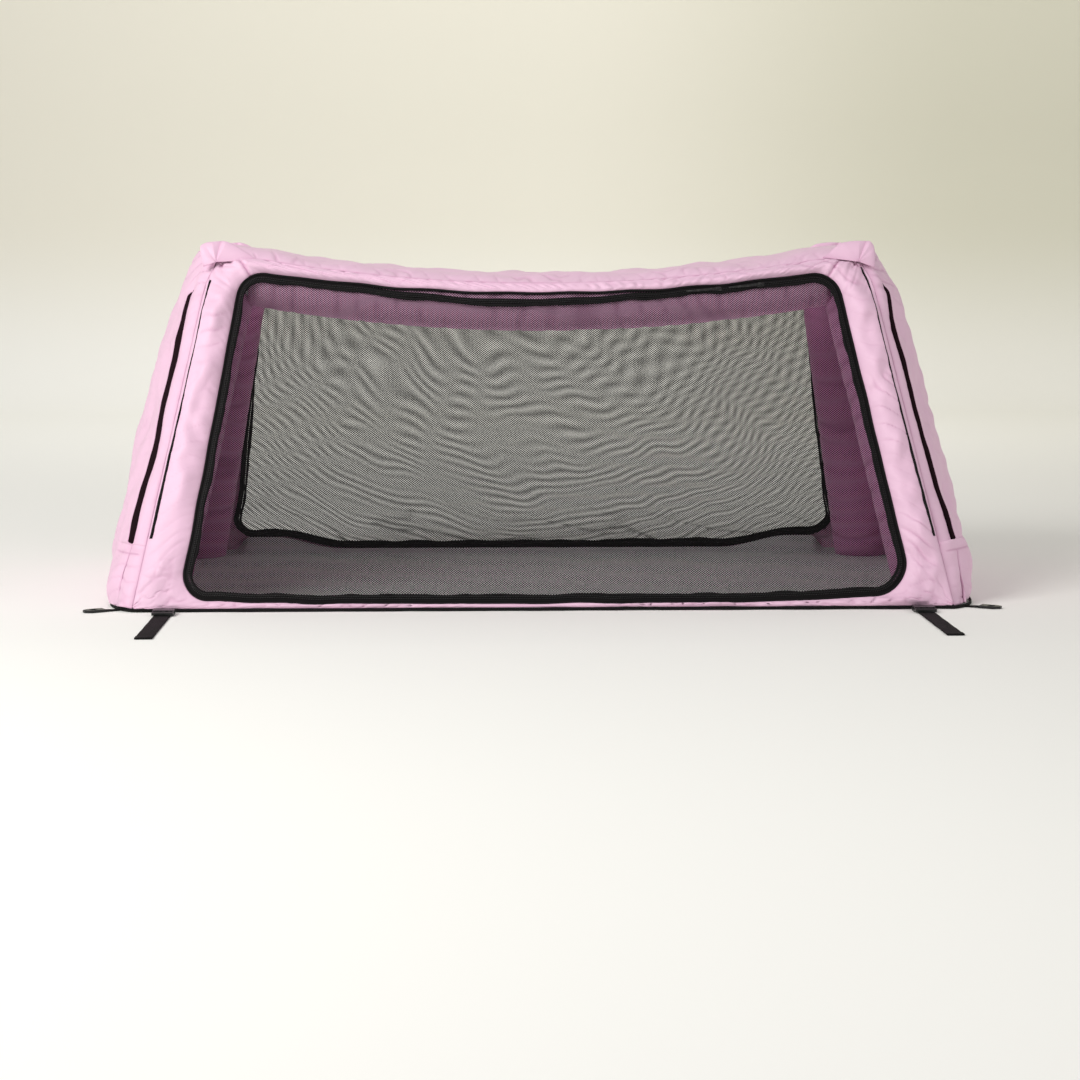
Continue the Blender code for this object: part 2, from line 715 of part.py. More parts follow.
def beam_path(face, stop):
    """Along under the roof edge, with its sag."""
    x = np.linspace(-stop, stop, 15)
    z = roof_line(x) - FABRIC - BEAM_RADIUS - ROOF_STANDOFF
    y = front_y(z) + (BEAM_RADIUS + TUBE_STANDOFF) / math.cos(LEAN_ANGLE)
    return np.stack([x, face * y, z], axis=1)


def make_valve(side_name, side, sleeve, tube, plastic):
    """A valve welded to the bladder, through a hole in the sleeve, with its screw cap."""
    centre = post_centre(VALVE_PLACE, side)
    axis = np.array([float(side), 0.0, 0.0])
    low = POST_RADIUS - SLEEVE - GAP - VALVE_FOOT
    high = POST_RADIUS + VALVE_RISE
    floor = POST_RADIUS + VALVE_RISE / 2
    body = [(0.0, low), (VALVE_RADIUS, low), (VALVE_RADIUS, high - VALVE_EDGE),
            (VALVE_RADIUS - VALVE_EDGE, high), (VALVE_BORE, high), (VALVE_BORE, floor), (0.0, floor)]
    join(tube, turned_object(f"{side_name}_valve_guide", body, centre, axis, plastic, TURN_SIDES))
    beyond = high + GUIDE_REACH
    hole = [(0.0, low), (VALVE_RADIUS + GAP, low), (VALVE_RADIUS + GAP, beyond), (0.0, beyond)]
    cut(sleeve, turned_object(f"{side_name}_valve_hole_guide", hole, centre, axis, plastic, TURN_SIDES))
    seat = high + GAP
    stem = VALVE_BORE - GAP
    cap = [(0.0, floor + GAP), (stem, floor + GAP), (stem, seat), (CAP_RADIUS, seat),
           (CAP_RADIUS, seat + CAP_HEIGHT - CAP_EDGE), (CAP_RADIUS - CAP_EDGE, seat + CAP_HEIGHT),
           (0.0, seat + CAP_HEIGHT)]
    turned_object(f"{side_name}_valve_cap", cap, centre, axis, plastic, 4 * CAP_RIBS, CAP_RIBS,
                  centre + axis * seat)


def make_air_frame(fabric, bladder, plastic):
    """Fabric sleeves and the airtight tubes inside them."""
    cutters = []
    for side_name, side in SIDES.items():
        path = arch_path(side, GAP)
        sleeve = pipe_object(f"{side_name}_arch_sleeve", path, POST_RADIUS, SLEEVE, TUBE_SIDES, fabric,
                             True)
        inner = arch_path(side, 2 * GAP)
        tube = rod_object(f"{side_name}_arch_bladder", inner, POST_RADIUS - SLEEVE - GAP, TUBE_SIDES,
                          bladder, True)
        make_valve(side_name, side, sleeve, tube, plastic)
        cutters.append(rod_object(f"{side_name}_arch_guide", path, POST_RADIUS + GAP, TUBE_SIDES, fabric))
    stop = abs(post_centre(ARCH_TOP, 1)[0])
    for face_name, face in FACES.items():
        path = beam_path(face, stop)
        sleeve = pipe_object(f"{face_name}_beam_sleeve", path, BEAM_RADIUS, SLEEVE, TUBE_SIDES, fabric)
        tube = rod_object(f"{face_name}_beam_bladder", path, BEAM_RADIUS - SLEEVE - GAP, TUBE_SIDES,
                          bladder)
        for cutter in cutters:
            cut(sleeve, cutter)
            cut(tube, cutter)


def strap_sheet(name, path, width, middle, direction, across, finish, origin=(0.0, 0.0, 0.0)):
    """Flat webbing along a path of distance and height, of a given width."""
    path = np.asarray(path, dtype=float)
    along = np.gradient(path, axis=0)
    along /= np.linalg.norm(along, axis=1, keepdims=True)
    normal = np.stack([-along[:, 1], along[:, 0]], axis=1)
    surfaces = []
    for shift in (STRAP_THICK / 2, -STRAP_THICK / 2):
        line = path + normal * shift
        grid = []
        for half in (-width / 2, width / 2):
            grid.append(np.asarray(middle) + line[:, :1] * np.asarray(direction)
                        + half * np.asarray(across) + line[:, 1:] * np.array([0.0, 0.0, 1.0]))
        surfaces.append(np.stack(grid, axis=1))
    return sheet_object(name, surfaces[0], surfaces[1], finish, None, origin)


def make_tie(face_name, face, side_name, side, webbing, plastic):
    """A hem tab, a side release buckle and the strap behind it, laid out on the floor."""
    place = np.array([side * STRAP_PLACE, 0.0, 0.0])
    out = np.array([0.0, -face, 0.0])
    hem = -front_y(HEM_HEIGHT) + HEM_WIDTH / 2 + GAP
    across = np.array([1.0, 0.0, 0.0])
    name = f"{face_name}_{side_name}"
    mid = BUCKLE_HEIGHT / 2
    tab_stop = hem + TAB_REACH
    strap_sheet(name + "_hem_tab", [(hem, STRAP_THICK / 2), (hem + TAB_FLAT, STRAP_THICK / 2),
                                    (tab_stop - TAB_FLAT, mid), (tab_stop, mid)],
                STRAP_WIDTH, place, out, across, webbing)
    start = tab_stop + GAP
    stop = start + BUCKLE_LENGTH
    half = BUCKLE_WIDTH / 2

    def block(label, low, high, finish, origin):
        corners = box_points(low, high)
        return make_object(label, place + corners[:, :1] * across + corners[:, 1:2] * out
                           + corners[:, 2:] * np.array([0.0, 0.0, 1.0]), BOX_FACES, finish, origin)

    origin = place + out * stop
    housing = block(name + "_buckle_socket", (-half, start, 0.0), (half, stop, BUCKLE_HEIGHT),
                    plastic, (0.0, 0.0, 0.0))
    wall = BUCKLE_WALL
    inside = start + BUCKLE_RIM
    pocket = block(name + "_pocket_guide", (-half + BUCKLE_RIM, inside, wall),
                   (half - BUCKLE_RIM, stop + GUIDE_REACH, BUCKLE_HEIGHT - wall), plastic, (0.0, 0.0, 0.0))
    cut(housing, pocket)
    window = block(name + "_window_guide",
                   (-half - GUIDE_REACH, inside + SIDE_WINDOW[0], SIDE_WINDOW_WALL),
                   (half + GUIDE_REACH, inside + SIDE_WINDOW[1], BUCKLE_HEIGHT - SIDE_WINDOW_WALL),
                   plastic, (0.0, 0.0, 0.0))
    cut(housing, window)
    fit = BUCKLE_FIT
    arm_low = wall + fit
    arm_high = BUCKLE_HEIGHT - wall - fit
    reach = half - BUCKLE_RIM - fit
    tip = inside + fit
    inner = reach - ARM_WIDTH
    root = stop + fit
    end = root + PLUG_LENGTH
    point, taper = ARM_POINT
    wide, narrow = TONGUE_HALF
    right = [(half, root), (reach, root), (reach, tip + taper), (reach - point, tip), (inner, tip),
             (inner, root), (wide, root), (narrow, tip + taper)]
    outline = [(half, end)] + right + [(-x, y) for x, y in right[::-1]] + [(-half, end)]
    low = np.array([place + x * across + y * out + np.array([0.0, 0.0, arm_low]) for x, y in outline])
    plug = plate_object(name + "_buckle_plug", low, (0.0, 0.0, arm_high - arm_low), plastic, origin)
    slot_low = root + SLOT_PLACE
    slot_high = slot_low + SLOT_LENGTH
    slot_half = STRAP_WIDTH / 2 + SLOT_ROOM
    slot = block(name + "_slot_guide", (-slot_half, slot_low, -GUIDE_REACH),
                 (slot_half, slot_high, BUCKLE_HEIGHT + GUIDE_REACH), plastic, origin)
    cut(plug, slot)
    first = slot_low + STRAP_THICK / 2 + GAP
    floor = STRAP_THICK / 2
    begin = slot_high - STRAP_THICK
    run = np.linspace(begin, begin + STRAP_LENGTH, 9)
    path = [(first, arm_high - STRAP_THICK / 2), (first + GAP, arm_low + STRAP_THICK),
            (begin - STRAP_THICK / 2, floor)]
    path += [(place_y, floor) for place_y in run[1:]]
    strap_sheet(name + "_strap", path, STRAP_WIDTH, place, out, across, webbing, origin)


def make_corner_tab(face_name, face, side_name, side, webbing, plastic):
    """A short webbing tab at a base corner with a slotted buckle half on its end."""
    near = end_point(np.array([-CORNER_TAB_PLACE - 0.01, -CORNER_TAB_PLACE, -CORNER_TAB_PLACE + 0.01]),
                     np.full(3, HEM_HEIGHT))
    place = near[1] * np.array([side, face, 0.0])
    run = near[2] - near[0]
    out = np.array([side * run[1], -face * run[0], 0.0]) / math.hypot(run[0], run[1])
    across = np.array([-out[1], out[0], 0.0])
    name = f"{face_name}_{side_name}_corner"
    start = HEM_WIDTH / 2 + GAP
    stop = start + CORNER_TAB_LENGTH
    mid = STRAP_THICK / 2 + CORNER_TAB_LIFT
    fold = place + out * start + np.array([0.0, 0.0, STRAP_THICK])
    strap_sheet(name + "_tab", [(start, STRAP_THICK / 2), (start + CORNER_TAB_FLAT, STRAP_THICK / 2),
                                (stop - CORNER_TAB_FLAT, mid), (stop, mid)],
                CORNER_TAB_WIDTH, place, out, across, webbing, fold)
    half = CORNER_TAB_WIDTH / 2 + CORNER_BUCKLE_RIM
    end = stop + GAP + CORNER_BUCKLE_LENGTH
    blunt, nose = CORNER_NOSE
    outline = [(-half, stop + GAP), (half, stop + GAP), (half, end - nose), (blunt * half, end),
               (-blunt * half, end), (-half, end - nose)]
    low = np.array([place + x * across + y * out for x, y in outline])
    body = plate_object(name + "_buckle", low, (0.0, 0.0, CORNER_BUCKLE_THICK), plastic, fold)
    share, far, close = CORNER_SLOT
    slot = [(-share * half, end - far), (share * half, end - far), (share * half, end - close),
            (-share * half, end - close)]
    under = np.array([0.0, 0.0, -GUIDE_REACH])
    low = np.array([place + x * across + y * out + under for x, y in slot])
    guide = plate_object(name + "_slot_guide", low, -3 * under, plastic, fold)
    cut(body, guide)


def build():
    clear_scene()
    pink = material("pink_nylon", (0.80, 0.52, 0.71), 0.55)
    black_mesh = material("black_mesh", (0.02, 0.02, 0.02), 0.8)
    tape = material("black_zip", (0.012, 0.012, 0.013), 0.6)
    webbing = material("black_webbing", (0.01, 0.01, 0.011), 0.75)
    plastic = material("black_acetal", (0.015, 0.015, 0.016), 0.35)
    clear = material("airtight_film", (0.6, 0.6, 0.62), 0.3)
    make_base(pink, webbing)
    make_roof(pink)
    make_air_frame(pink, clear, plastic)
    for face_name, face in FACES.items():
        hinge = on_wall(np.array([0.0, WINDOW_BOTTOM + TAPE_WIDTH + GAP / 2]),
                        TAPE_THICK / 2 + COIL_HEIGHT, face)
        make_wall(face_name, face, pink)
        make_zip_tapes(face_name, face, tape, hinge)
        make_mesh_door(face_name, face, black_mesh, hinge)
        for index, x in enumerate(SLIDER_PLACES, start=1):
            make_slider(face_name, face, index, x, plastic)
    for side_name, side in SIDES.items():
        make_end_wall(side_name, side, pink, tape)
        for face_name, face in FACES.items():
            make_tie(face_name, face, side_name, side, webbing, plastic)
            make_corner_tab(face_name, face, side_name, side, webbing, plastic)


build()
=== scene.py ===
# %% [markdown]
# # An inflatable travel bed
# A fabric cabin stands on four leaning corners that are blown up like tyres. Each long
# side has a big mesh window with a zip round it, and webbing straps tie the base down.
# The solids come from the frame, and this script makes the cloth, mesh, zips and webbing
# that dress them. Everything is in metres, with the front of the cabin towards -Y.

# %% Load the frame
import math

import bmesh
import bpy
import numpy as np
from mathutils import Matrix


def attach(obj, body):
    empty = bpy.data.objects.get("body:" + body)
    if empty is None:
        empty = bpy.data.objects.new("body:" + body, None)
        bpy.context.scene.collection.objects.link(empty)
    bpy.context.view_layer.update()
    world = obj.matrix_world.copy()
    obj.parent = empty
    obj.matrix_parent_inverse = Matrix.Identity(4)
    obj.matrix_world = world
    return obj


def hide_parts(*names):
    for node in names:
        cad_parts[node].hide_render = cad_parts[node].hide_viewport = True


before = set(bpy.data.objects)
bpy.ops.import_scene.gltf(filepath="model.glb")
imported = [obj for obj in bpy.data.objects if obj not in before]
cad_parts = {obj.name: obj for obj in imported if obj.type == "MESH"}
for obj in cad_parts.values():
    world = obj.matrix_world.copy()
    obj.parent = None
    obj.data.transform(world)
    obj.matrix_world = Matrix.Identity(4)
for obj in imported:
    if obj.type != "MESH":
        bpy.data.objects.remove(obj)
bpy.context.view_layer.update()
print("nodes in the frame:", len(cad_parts))

# %% [markdown]
# ## The shape of the cabin in a few formulas
# Every panel is cut to the same few lines, so they are written down once: how far the
# front leans, where the corner seam runs, how the roof sags and where the window's zip is.

# %% Lines of the cabin
HALF_LENGTH, HALF_DEPTH, CORNER, ROOF_MID = 0.995, 0.57, 0.836, 0.761
SLOPE = 0.350 / CORNER
LEAN = math.atan(SLOPE)
HEADER_DROP = 0.022
CLOTH = 0.0012
SIDES = {"left": -1, "right": 1}
FACES = {"front": 1, "back": -1}


def columns(*values):
    """Coordinates, each an array or a number, side by side as one array of places."""
    return np.stack(np.broadcast_arrays(*values), axis=-1)


def front_y(z):
    """The front wall leans back in a straight line; the back wall mirrors it."""
    return -(HALF_DEPTH - SLOPE * z)


def seam_half(z):
    """Half the width between the corner seams: 0.9375 m at the base, less 0.2 m a metre up."""
    return 0.9375 - 0.20 * z


def roof_line(x):
    """The roof's height over x: a parabola, lowest in the middle."""
    return ROOF_MID + (CORNER - ROOF_MID) * (x / seam_half(CORNER)) ** 2


def header_line(x):
    """The seam under the rolled edge of the roof."""
    return roof_line(x) - HEADER_DROP


HEADER_TOP = header_line(seam_half(CORNER))


def end_point(t, z):
    """The end wall: t from the front seam, -1, to the back, 1. It bulges by a root of a sine."""
    up = np.clip(z / CORNER, 0.0, 1.0)
    middle = HALF_LENGTH - 0.195 * up + 0.066 * np.sqrt(np.sin(math.pi * up))
    seam = seam_half(z) + 0.0008
    square = 2.5 + 8.0 * np.clip(1.0 - 2.0 * up, 0.0, 1.0) ** 2
    x = seam + (middle - seam) * (1.0 - np.abs(t) ** square)
    return columns(x, -front_y(z) * t, z)


def on_wall(flat, out, face):
    """Width and height on the leaning wall, lifted out square to it, as places in the room."""
    z = flat[..., 1] + out * math.sin(LEAN)
    y = front_y(flat[..., 1]) - out * math.cos(LEAN)
    return columns(flat[..., 0], face * y, z)


def rounded(corners, radii, arc_steps, edge_steps):
    """A polygon with round corners: an arc at each corner, then even steps along the edge."""
    parts, arcs = [], []
    for i, corner in enumerate(corners):
        here = np.array(corner)
        before = here - np.array(corners[i - 1])
        after = np.array(corners[(i + 1) % 4]) - here
        before, after = unit(before), unit(after)
        turn = math.acos(before @ after)
        inwards = radii[i] * np.array([-before[1], before[0]])
        centre = here - before * radii[i] * math.tan(turn / 2) + inwards
        angle = math.atan2(-before[0], before[1]) + np.linspace(0.0, turn, arc_steps)
        arcs.append(centre + radii[i] * columns(np.cos(angle), np.sin(angle)))
    for i, arc in enumerate(arcs):
        share = np.linspace(0.0, 1.0, edge_steps[i] + 1)[1:-1, None]
        parts += [arc, arc[-1] + (arcs[(i + 1) % 4][0] - arc[-1]) * share]
    return np.concatenate(parts)


def sagged(flat, low, high, half, line):
    """Bend the straight top edge of an outline to a sagging line."""
    x, z = flat[..., 0], flat[..., 1]
    drop = line(np.minimum(np.abs(x), half)) - high
    return columns(x, z + drop * (z - low) / (high - low))


def unit(vectors):
    """Vectors scaled to a length of one."""
    return vectors / np.maximum(np.linalg.norm(vectors, axis=-1, keepdims=True), 1e-9)


def edge_frame(outline):
    """Unit vectors along a closed outline, and inwards square to it."""
    along = unit(np.roll(outline, -1, axis=0) - np.roll(outline, 1, axis=0))
    return along, columns(-along[:, 1], along[:, 0])


def inset(outline, amount):
    """Move a closed outline inwards by an amount, one for all or one for each point."""
    return outline + np.reshape(amount, (-1, 1)) * edge_frame(outline)[1]


def run_of(line):
    """The length along a line of points, from 0 at its first."""
    return np.concatenate([[0.0], np.cumsum(np.linalg.norm(np.diff(line, axis=0), axis=1))])


def at_lengths(line, stops):
    """The points of a flat line at some lengths along it."""
    run = run_of(line)
    return columns(*[np.interp(stops, run, line[:, k]) for k in (0, 1)])


def relaxed(line):
    """Smooth a line three times by its neighbours and keep its ends."""
    for _ in range(3):
        line[1:-1] = (line[:-2] + 2 * line[1:-1] + line[2:]) / 4
    return line


def smooth(x, low, high):
    """0 below low, 1 above high and an s-curve between."""
    t = np.clip((x - low) / (high - low), 0.0, 1.0)
    return t * t * (3.0 - 2.0 * t)


def bell(x, width):
    """A bell curve: 1 at zero, and a third at one width to either side."""
    return np.exp(-(x / width) ** 2)


def fade(x, length):
    """1 at zero, and down to a third with every length."""
    return np.exp(-x / length)


def eased(count):
    """Steps from 0 to 1 that crowd at both ends, as half a cosine does."""
    return 0.5 - 0.5 * np.cos(np.linspace(0.0, math.pi, count))


ARC, EDGES = 42, (380, 190, 380, 190)
WALL_LOW = 0.0085
WINDOW_LOW, WINDOW_HIGH, WINDOW_MID = 0.012, 0.772, 0.718
WINDOW_WIDEST, WINDOW_TAPER = 0.837, 0.17
WINDOW_HALF = [WINDOW_WIDEST - WINDOW_TAPER * z for z in (WINDOW_LOW, WINDOW_HIGH)]


def window_line(x):
    """The sagging top of the window, a parabola as the roof is."""
    return WINDOW_MID + (WINDOW_HIGH - WINDOW_MID) * (x / WINDOW_HALF[1]) ** 2


LOWER_ARCS = {"front": (0.062, 0.080), "back": (0.055, 0.070)}
UPPER_ARC = 0.075


def window_lift(face_name, x, z):
    """How far the window's foot rises towards its ends: an s-curve of x that fades out with height."""
    if face_name == "front":
        lift = 0.003 + np.where(x < 0, 0.008, 0.013) * smooth(np.abs(x), 0.45, 0.80)
    else:
        lift = 0.003 + 0.033 * smooth(np.abs(x), 0.52, 0.70)
    return lift * (1.0 - smooth(z, 0.02, 0.20))


def straight_window(face_name):
    """The window before it sags: four straight edges and an arc at each corner."""
    low, high = WINDOW_HALF
    corners = [(-low, WINDOW_LOW), (low, WINDOW_LOW), (high, WINDOW_HIGH), (-high, WINDOW_HIGH)]
    return rounded(corners, (*LOWER_ARCS[face_name], UPPER_ARC, UPPER_ARC), ARC, EDGES)


def window_spread(face_name, x, z):
    """The front's right foot is pulled out 13 mm and the back's left foot in 20 mm, less with height."""
    pulled = 0.013 * smooth(x, 0.30, 0.75) if face_name == "front" else 0.020 * smooth(-x, 0.30, 0.75)
    return pulled * (1.0 - smooth(z, 0.10, 0.75))


def window_moved(face_name, flat):
    """Spread and lift the places of a sagged window."""
    x, z = flat[..., 0], flat[..., 1]
    return flat + columns(window_spread(face_name, x, z), window_lift(face_name, x, z))


def window_outline(face_name):
    """The window's outline, its top sagged and its foot lifted and spread."""
    straight = straight_window(face_name)
    return window_moved(face_name, sagged(straight, WINDOW_LOW, WINDOW_HIGH, WINDOW_HALF[1], window_line))


window_edges = {name: window_outline(name) for name in FACES}
low, high = seam_half(WALL_LOW), seam_half(HEADER_TOP)
flat = rounded([(-low, WALL_LOW), (low, WALL_LOW), (high, HEADER_TOP), (-high, HEADER_TOP)],
               (0.004, 0.004, 0.012, 0.012), ARC, EDGES)
wall_edge = sagged(flat, WALL_LOW, HEADER_TOP, high, header_line)
print("points round a window:", len(window_edges["front"]))

# %% [markdown]
# ## Creases by formula
# Cloth over a blown up tube has broad soft waves, and short sharp creases where a seam
# gathers it. A sum of a few plane waves with seeded directions gives the soft waves. The
# lines where such a sum crosses zero wander and branch just as creases do.


# %% Waves and creases
def waves(u, v, length, seed, lean=0.0, spread=math.pi):
    """A sum of ten sine waves about one length, their crests turned at random round lean."""
    pick = np.random.default_rng(seed)
    total = 0.0
    for _ in range(10):
        angle = lean + pick.uniform(-spread, spread)
        size = length * pick.uniform(0.7, 1.5)
        total = total + np.sin(2 * math.pi * (u * math.cos(angle) + v * math.sin(angle)) / size
                               + pick.uniform(0.0, 2 * math.pi))
    return total / math.sqrt(5.0)


def creases(u, v, length, seed, sharp, **turned):
    """A narrow ridge, 1 at its top, along each line where the waves cross zero."""
    return bell(waves(u, v, length, seed, **turned), sharp)


# %% [markdown]
# ## From a grid to a mesh
# A panel is a grid of points with a length along it and across it in metres. The lengths
# become its UV map, so a weave or a mesh pattern keeps its real size and follows the cloth.


# %% Grid meshes
def placed(name, data):
    """A new object in the scene."""
    made = bpy.data.objects.new(name, data)
    bpy.context.scene.collection.objects.link(made)
    return made


def grid_mesh(name, points, lengths, finishes, ring=False, thick=0.0, shade=None, dark=None, turn=False):
    """A grid of points by rows and columns as quads. ring joins the last row to the first."""
    rows, width = points.shape[:2]
    steps = rows if ring else rows - 1
    i, j = np.meshgrid(np.arange(steps), np.arange(width - 1), indexing="ij")
    i, j = i.ravel(), j.ravel()
    corner_i = columns(i, i, i + 1, i + 1)
    corner_j = columns(j, j + 1, j + 1, j)
    if turn:
        corner_i, corner_j = corner_i[:, ::-1], corner_j[:, ::-1]
    mesh = bpy.data.meshes.new(name)
    faces = (corner_i % rows) * width + corner_j
    mesh.vertices.add(rows * width)
    mesh.vertices.foreach_set("co", points.astype(np.float32).ravel())
    mesh.loops.add(faces.size)
    mesh.loops.foreach_set("vertex_index", faces.astype(np.int32).ravel())
    mesh.polygons.add(len(faces))
    mesh.polygons.foreach_set("loop_start", np.arange(0, faces.size, 4, dtype=np.int32))
    mesh.update(calc_edges=True)
    uv = mesh.uv_layers.new(name="cut")
    uv.data.foreach_set("uv", lengths[corner_i, corner_j].astype(np.float32).ravel())
    if shade is not None:
        fold = mesh.attributes.new("fold", "FLOAT", "POINT")
        fold.data.foreach_set("value", shade.astype(np.float32).ravel())
    for finish in finishes:
        mesh.materials.append(finish)
    if dark is not None:
        sunk = np.isin(j, dark[1]) & (i >= dark[0][0]) & (i < dark[0][1])
        mesh.polygons.foreach_set("material_index", sunk.astype(np.int32))
    mesh.shade_smooth()
    made = placed(name, mesh)
    if thick:
        wall = made.modifiers.new("thickness", "SOLIDIFY")
        wall.thickness = thick
        wall.offset = -1.0
    return made


def measured(points, ring=False):
    """Lengths along the rows and columns of a grid, in metres, for its UV map."""
    closed = np.concatenate([points, points[:1]]) if ring else points
    runs = []
    for axis in (0, 1):
        steps = np.linalg.norm(np.diff(closed, axis=axis), axis=2).mean(axis=1 - axis)
        runs.append(np.concatenate([[0.0], np.cumsum(steps)]))
    return np.stack(np.meshgrid(*runs, indexing="ij"), axis=-1)


def normals(points):
    """Unit normals of a grid, from the cross product of its two directions."""
    return unit(np.cross(np.gradient(points, axis=0), np.gradient(points, axis=1)))


def merged(mesh, step):
    """Merge a mesh's double points, then take one more step on it."""
    solid = bmesh.new()
    solid.from_mesh(mesh)
    bmesh.ops.remove_doubles(solid, verts=solid.verts, dist=1e-6)
    step(solid)
    solid.to_mesh(mesh)
    solid.free()


def outwards(solid):
    """Turn all faces outwards."""
    bmesh.ops.recalc_face_normals(solid, faces=solid.faces)


def closed_outwards(solid):
    """Fill open ends, then turn all faces outwards."""
    bmesh.ops.holes_fill(solid, edges=[e for e in solid.edges if e.is_boundary])
    outwards(solid)


def flattened(solid):
    """Join triangles that lie within a degree of one plane."""
    bmesh.ops.dissolve_limit(solid, angle_limit=math.radians(1.0), verts=solid.verts, edges=solid.edges)


def welded(piece, step=outwards):
    """Merge the points along a piece's seam and turn its faces outwards."""
    merged(piece.data, step)
    return piece


def dress(piece, body, slot, *nodes):
    """Let a piece ride on a body and stand for nodes. The slot is not used."""
    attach(piece, body)
    if nodes:
        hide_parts(*nodes)
    return piece


# %% [markdown]
# ## Colours and node helpers
# Colours are read from the photograph as sRGB and turned to linear light once. Small
# helpers add the nodes and their links, so a material reads as a short list.


# %% Colour and nodes
def colour(code):
    """An sRGB hex code as linear red, green, blue and alpha."""
    parts = [int(code[k:k + 2], 16) / 255 for k in (1, 3, 5)]
    return (*[p / 12.92 if p <= 0.04045 else ((p + 0.055) / 1.055) ** 2.4 for p in parts], 1.0)


def add(tree, kind, inputs=None, **settings):
    """Add a shader node; an input given as a socket is linked and any other is set."""
    made = tree.nodes.new("ShaderNode" + kind)
    for name, value in settings.items():
        setattr(made, name, value)
    for name, value in (inputs or {}).items():
        if isinstance(value, bpy.types.NodeSocket):
            tree.links.new(value, made.inputs[name])
        else:
            made.inputs[name].default_value = value
    return made


def maths(tree, operation, *values, **settings):
    """The result of a Math node whose inputs are sockets or numbers."""
    return add(tree, "Math", dict(enumerate(values)), operation=operation, **settings).outputs[0]


def noise(tree, place, scale, detail=2.0, output="Fac"):
    """A noise texture's value at a place."""
    return add(tree, "TexNoise", {"Vector": place, "Scale": scale, "Detail": detail}).outputs[output]


def bands(tree, place, scale, direction="X"):
    """A wave texture's bands at a place."""
    return add(tree, "TexWave", {"Vector": place, "Scale": scale}, bands_direction=direction).outputs["Fac"]


def cut_of(tree):
    """Lengths along and across the cloth, from its UV map."""
    return add(tree, "UVMap", uv_map="cut").outputs["UV"]


def shade_and_fold_of(tree):
    """The fold attribute: the painted shade on nylon, and on mesh how deep in a fold it lies."""
    return add(tree, "Attribute", attribute_name="fold").outputs["Fac"]


def blended(tree, share, first, second):
    """A mix of two hex colours by a share from 0 to 1. The kind is set before the colours."""
    made = add(tree, "Mix", data_type="RGBA")
    tree.links.new(share, made.inputs["Factor"])
    made.inputs["A"].default_value = colour(first)
    made.inputs["B"].default_value = colour(second)
    return made.outputs["Result"]


def start(name, **values):
    """A new material with its Principled shader, values set on the shader itself."""
    made = bpy.data.materials.new(name)
    made.use_nodes = True
    shader = made.node_tree.nodes["Principled BSDF"]
    for key, value in values.items():
        shader.inputs[key.replace("_", " ")].default_value = value
    return made, made.node_tree, shader


def finished(tree, shader, tone, height, strength, distance):
    """Link a colour to the shader, and a height as bump with its distance in metres."""
    tree.links.new(tone, shader.inputs["Base Color"])
    bump = add(tree, "Bump", {"Height": height, "Strength": strength, "Distance": distance})
    tree.links.new(bump.outputs["Normal"], shader.inputs["Normal"])


# %% [markdown]
# ## Pink nylon
# The cabin is woven nylon with a dull coating. Its threads, a third of a millimetre apart,
# are far too fine to show, so the bump draws bundles of them and a soft noise of slack
# cloth. Folds carry a deeper pink, painted shade for the light that bounces from pink to pink
# inside a fold. The sleeves inside the cabin are a deeper pink again, painted shade for the
# dim inside, and the beams' sleeves a paler one, painted light.


# %% Pink nylon
def nylon(name, lit, shaded):
    """Woven nylon, mixed from its lit colour to its painted shade colour by the mesh's fold attribute."""
    made, tree, shader = start(name, Roughness=0.55, Sheen_Weight=0.12, Sheen_Roughness=0.45)
    shader.inputs["Sheen Tint"].default_value = colour("#fff0fa")
    cut = cut_of(tree)
    tone = maths(tree, "MULTIPLY_ADD", noise(tree, cut, 9.0, 3.0), 0.10, -0.05)
    share = maths(tree, "ADD", shade_and_fold_of(tree), tone, use_clamp=True)
    weave = bands(tree, cut, 110.0, "DIAGONAL")
    height = maths(tree, "MULTIPLY_ADD", weave, 0.12, noise(tree, cut, 55.0, 6.0))
    finished(tree, shader, blended(tree, share, lit, shaded), height, 0.16, 0.002)
    return made


pink = nylon("coated_pink_nylon", "#ecc4dd", "#c184aa")
# a deeper pink for the arch sleeves: painted shade for the dim inside of the cabin
pink_painted_inner_shade = nylon("pink_nylon_painted_inner_shade", "#d898c3", "#a05a88")
# a paler pink for the beam sleeves: painted light
pink_painted_light = nylon("pink_nylon_painted_light", "#f6bde2", "#c586b0")

# %% [markdown]
# ## Black goods
# Zip tape, webbing and binding are all woven polyester, dyed black. Webbing shows ribs
# across it 2 mm apart, zip tape a finer one. Moulded acetal buckles are smoother and catch
# a small highlight, and the sliders are die cast zinc under black paint, worn at the edges.


# %% Black tape, webbing and binding
def woven_black(name, tone, light, pitch, rough, depth):
    """Ribs at a pitch in metres: a wave texture's bands repeat every 2 pi / (20 Scale)."""
    made, tree, shader = start(name, Roughness=rough, Specular_IOR_Level=0.2)
    cut = cut_of(tree)
    ribs = bands(tree, cut, 1.0 / pitch / 20.0 * 6.28)
    share = maths(tree, "MULTIPLY", ribs, noise(tree, cut, 60.0, 5.0))
    finished(tree, shader, blended(tree, share, tone, light), ribs, depth, 0.001)
    return made


zip_tape = woven_black("woven_zip_tape", "#070607", "#181517", 0.0015, 0.7, 0.25)
webbing = woven_black("polyester_webbing", "#0b0a0b", "#1f1d1e", 0.002, 0.75, 0.6)
# a dark maroon sheet fills each end wall's slit: painted shade for the dim inside seen through it
slit_shade = woven_black("painted_slit_shade", "#150309", "#2a0a18", 0.002, 0.85, 0.2)


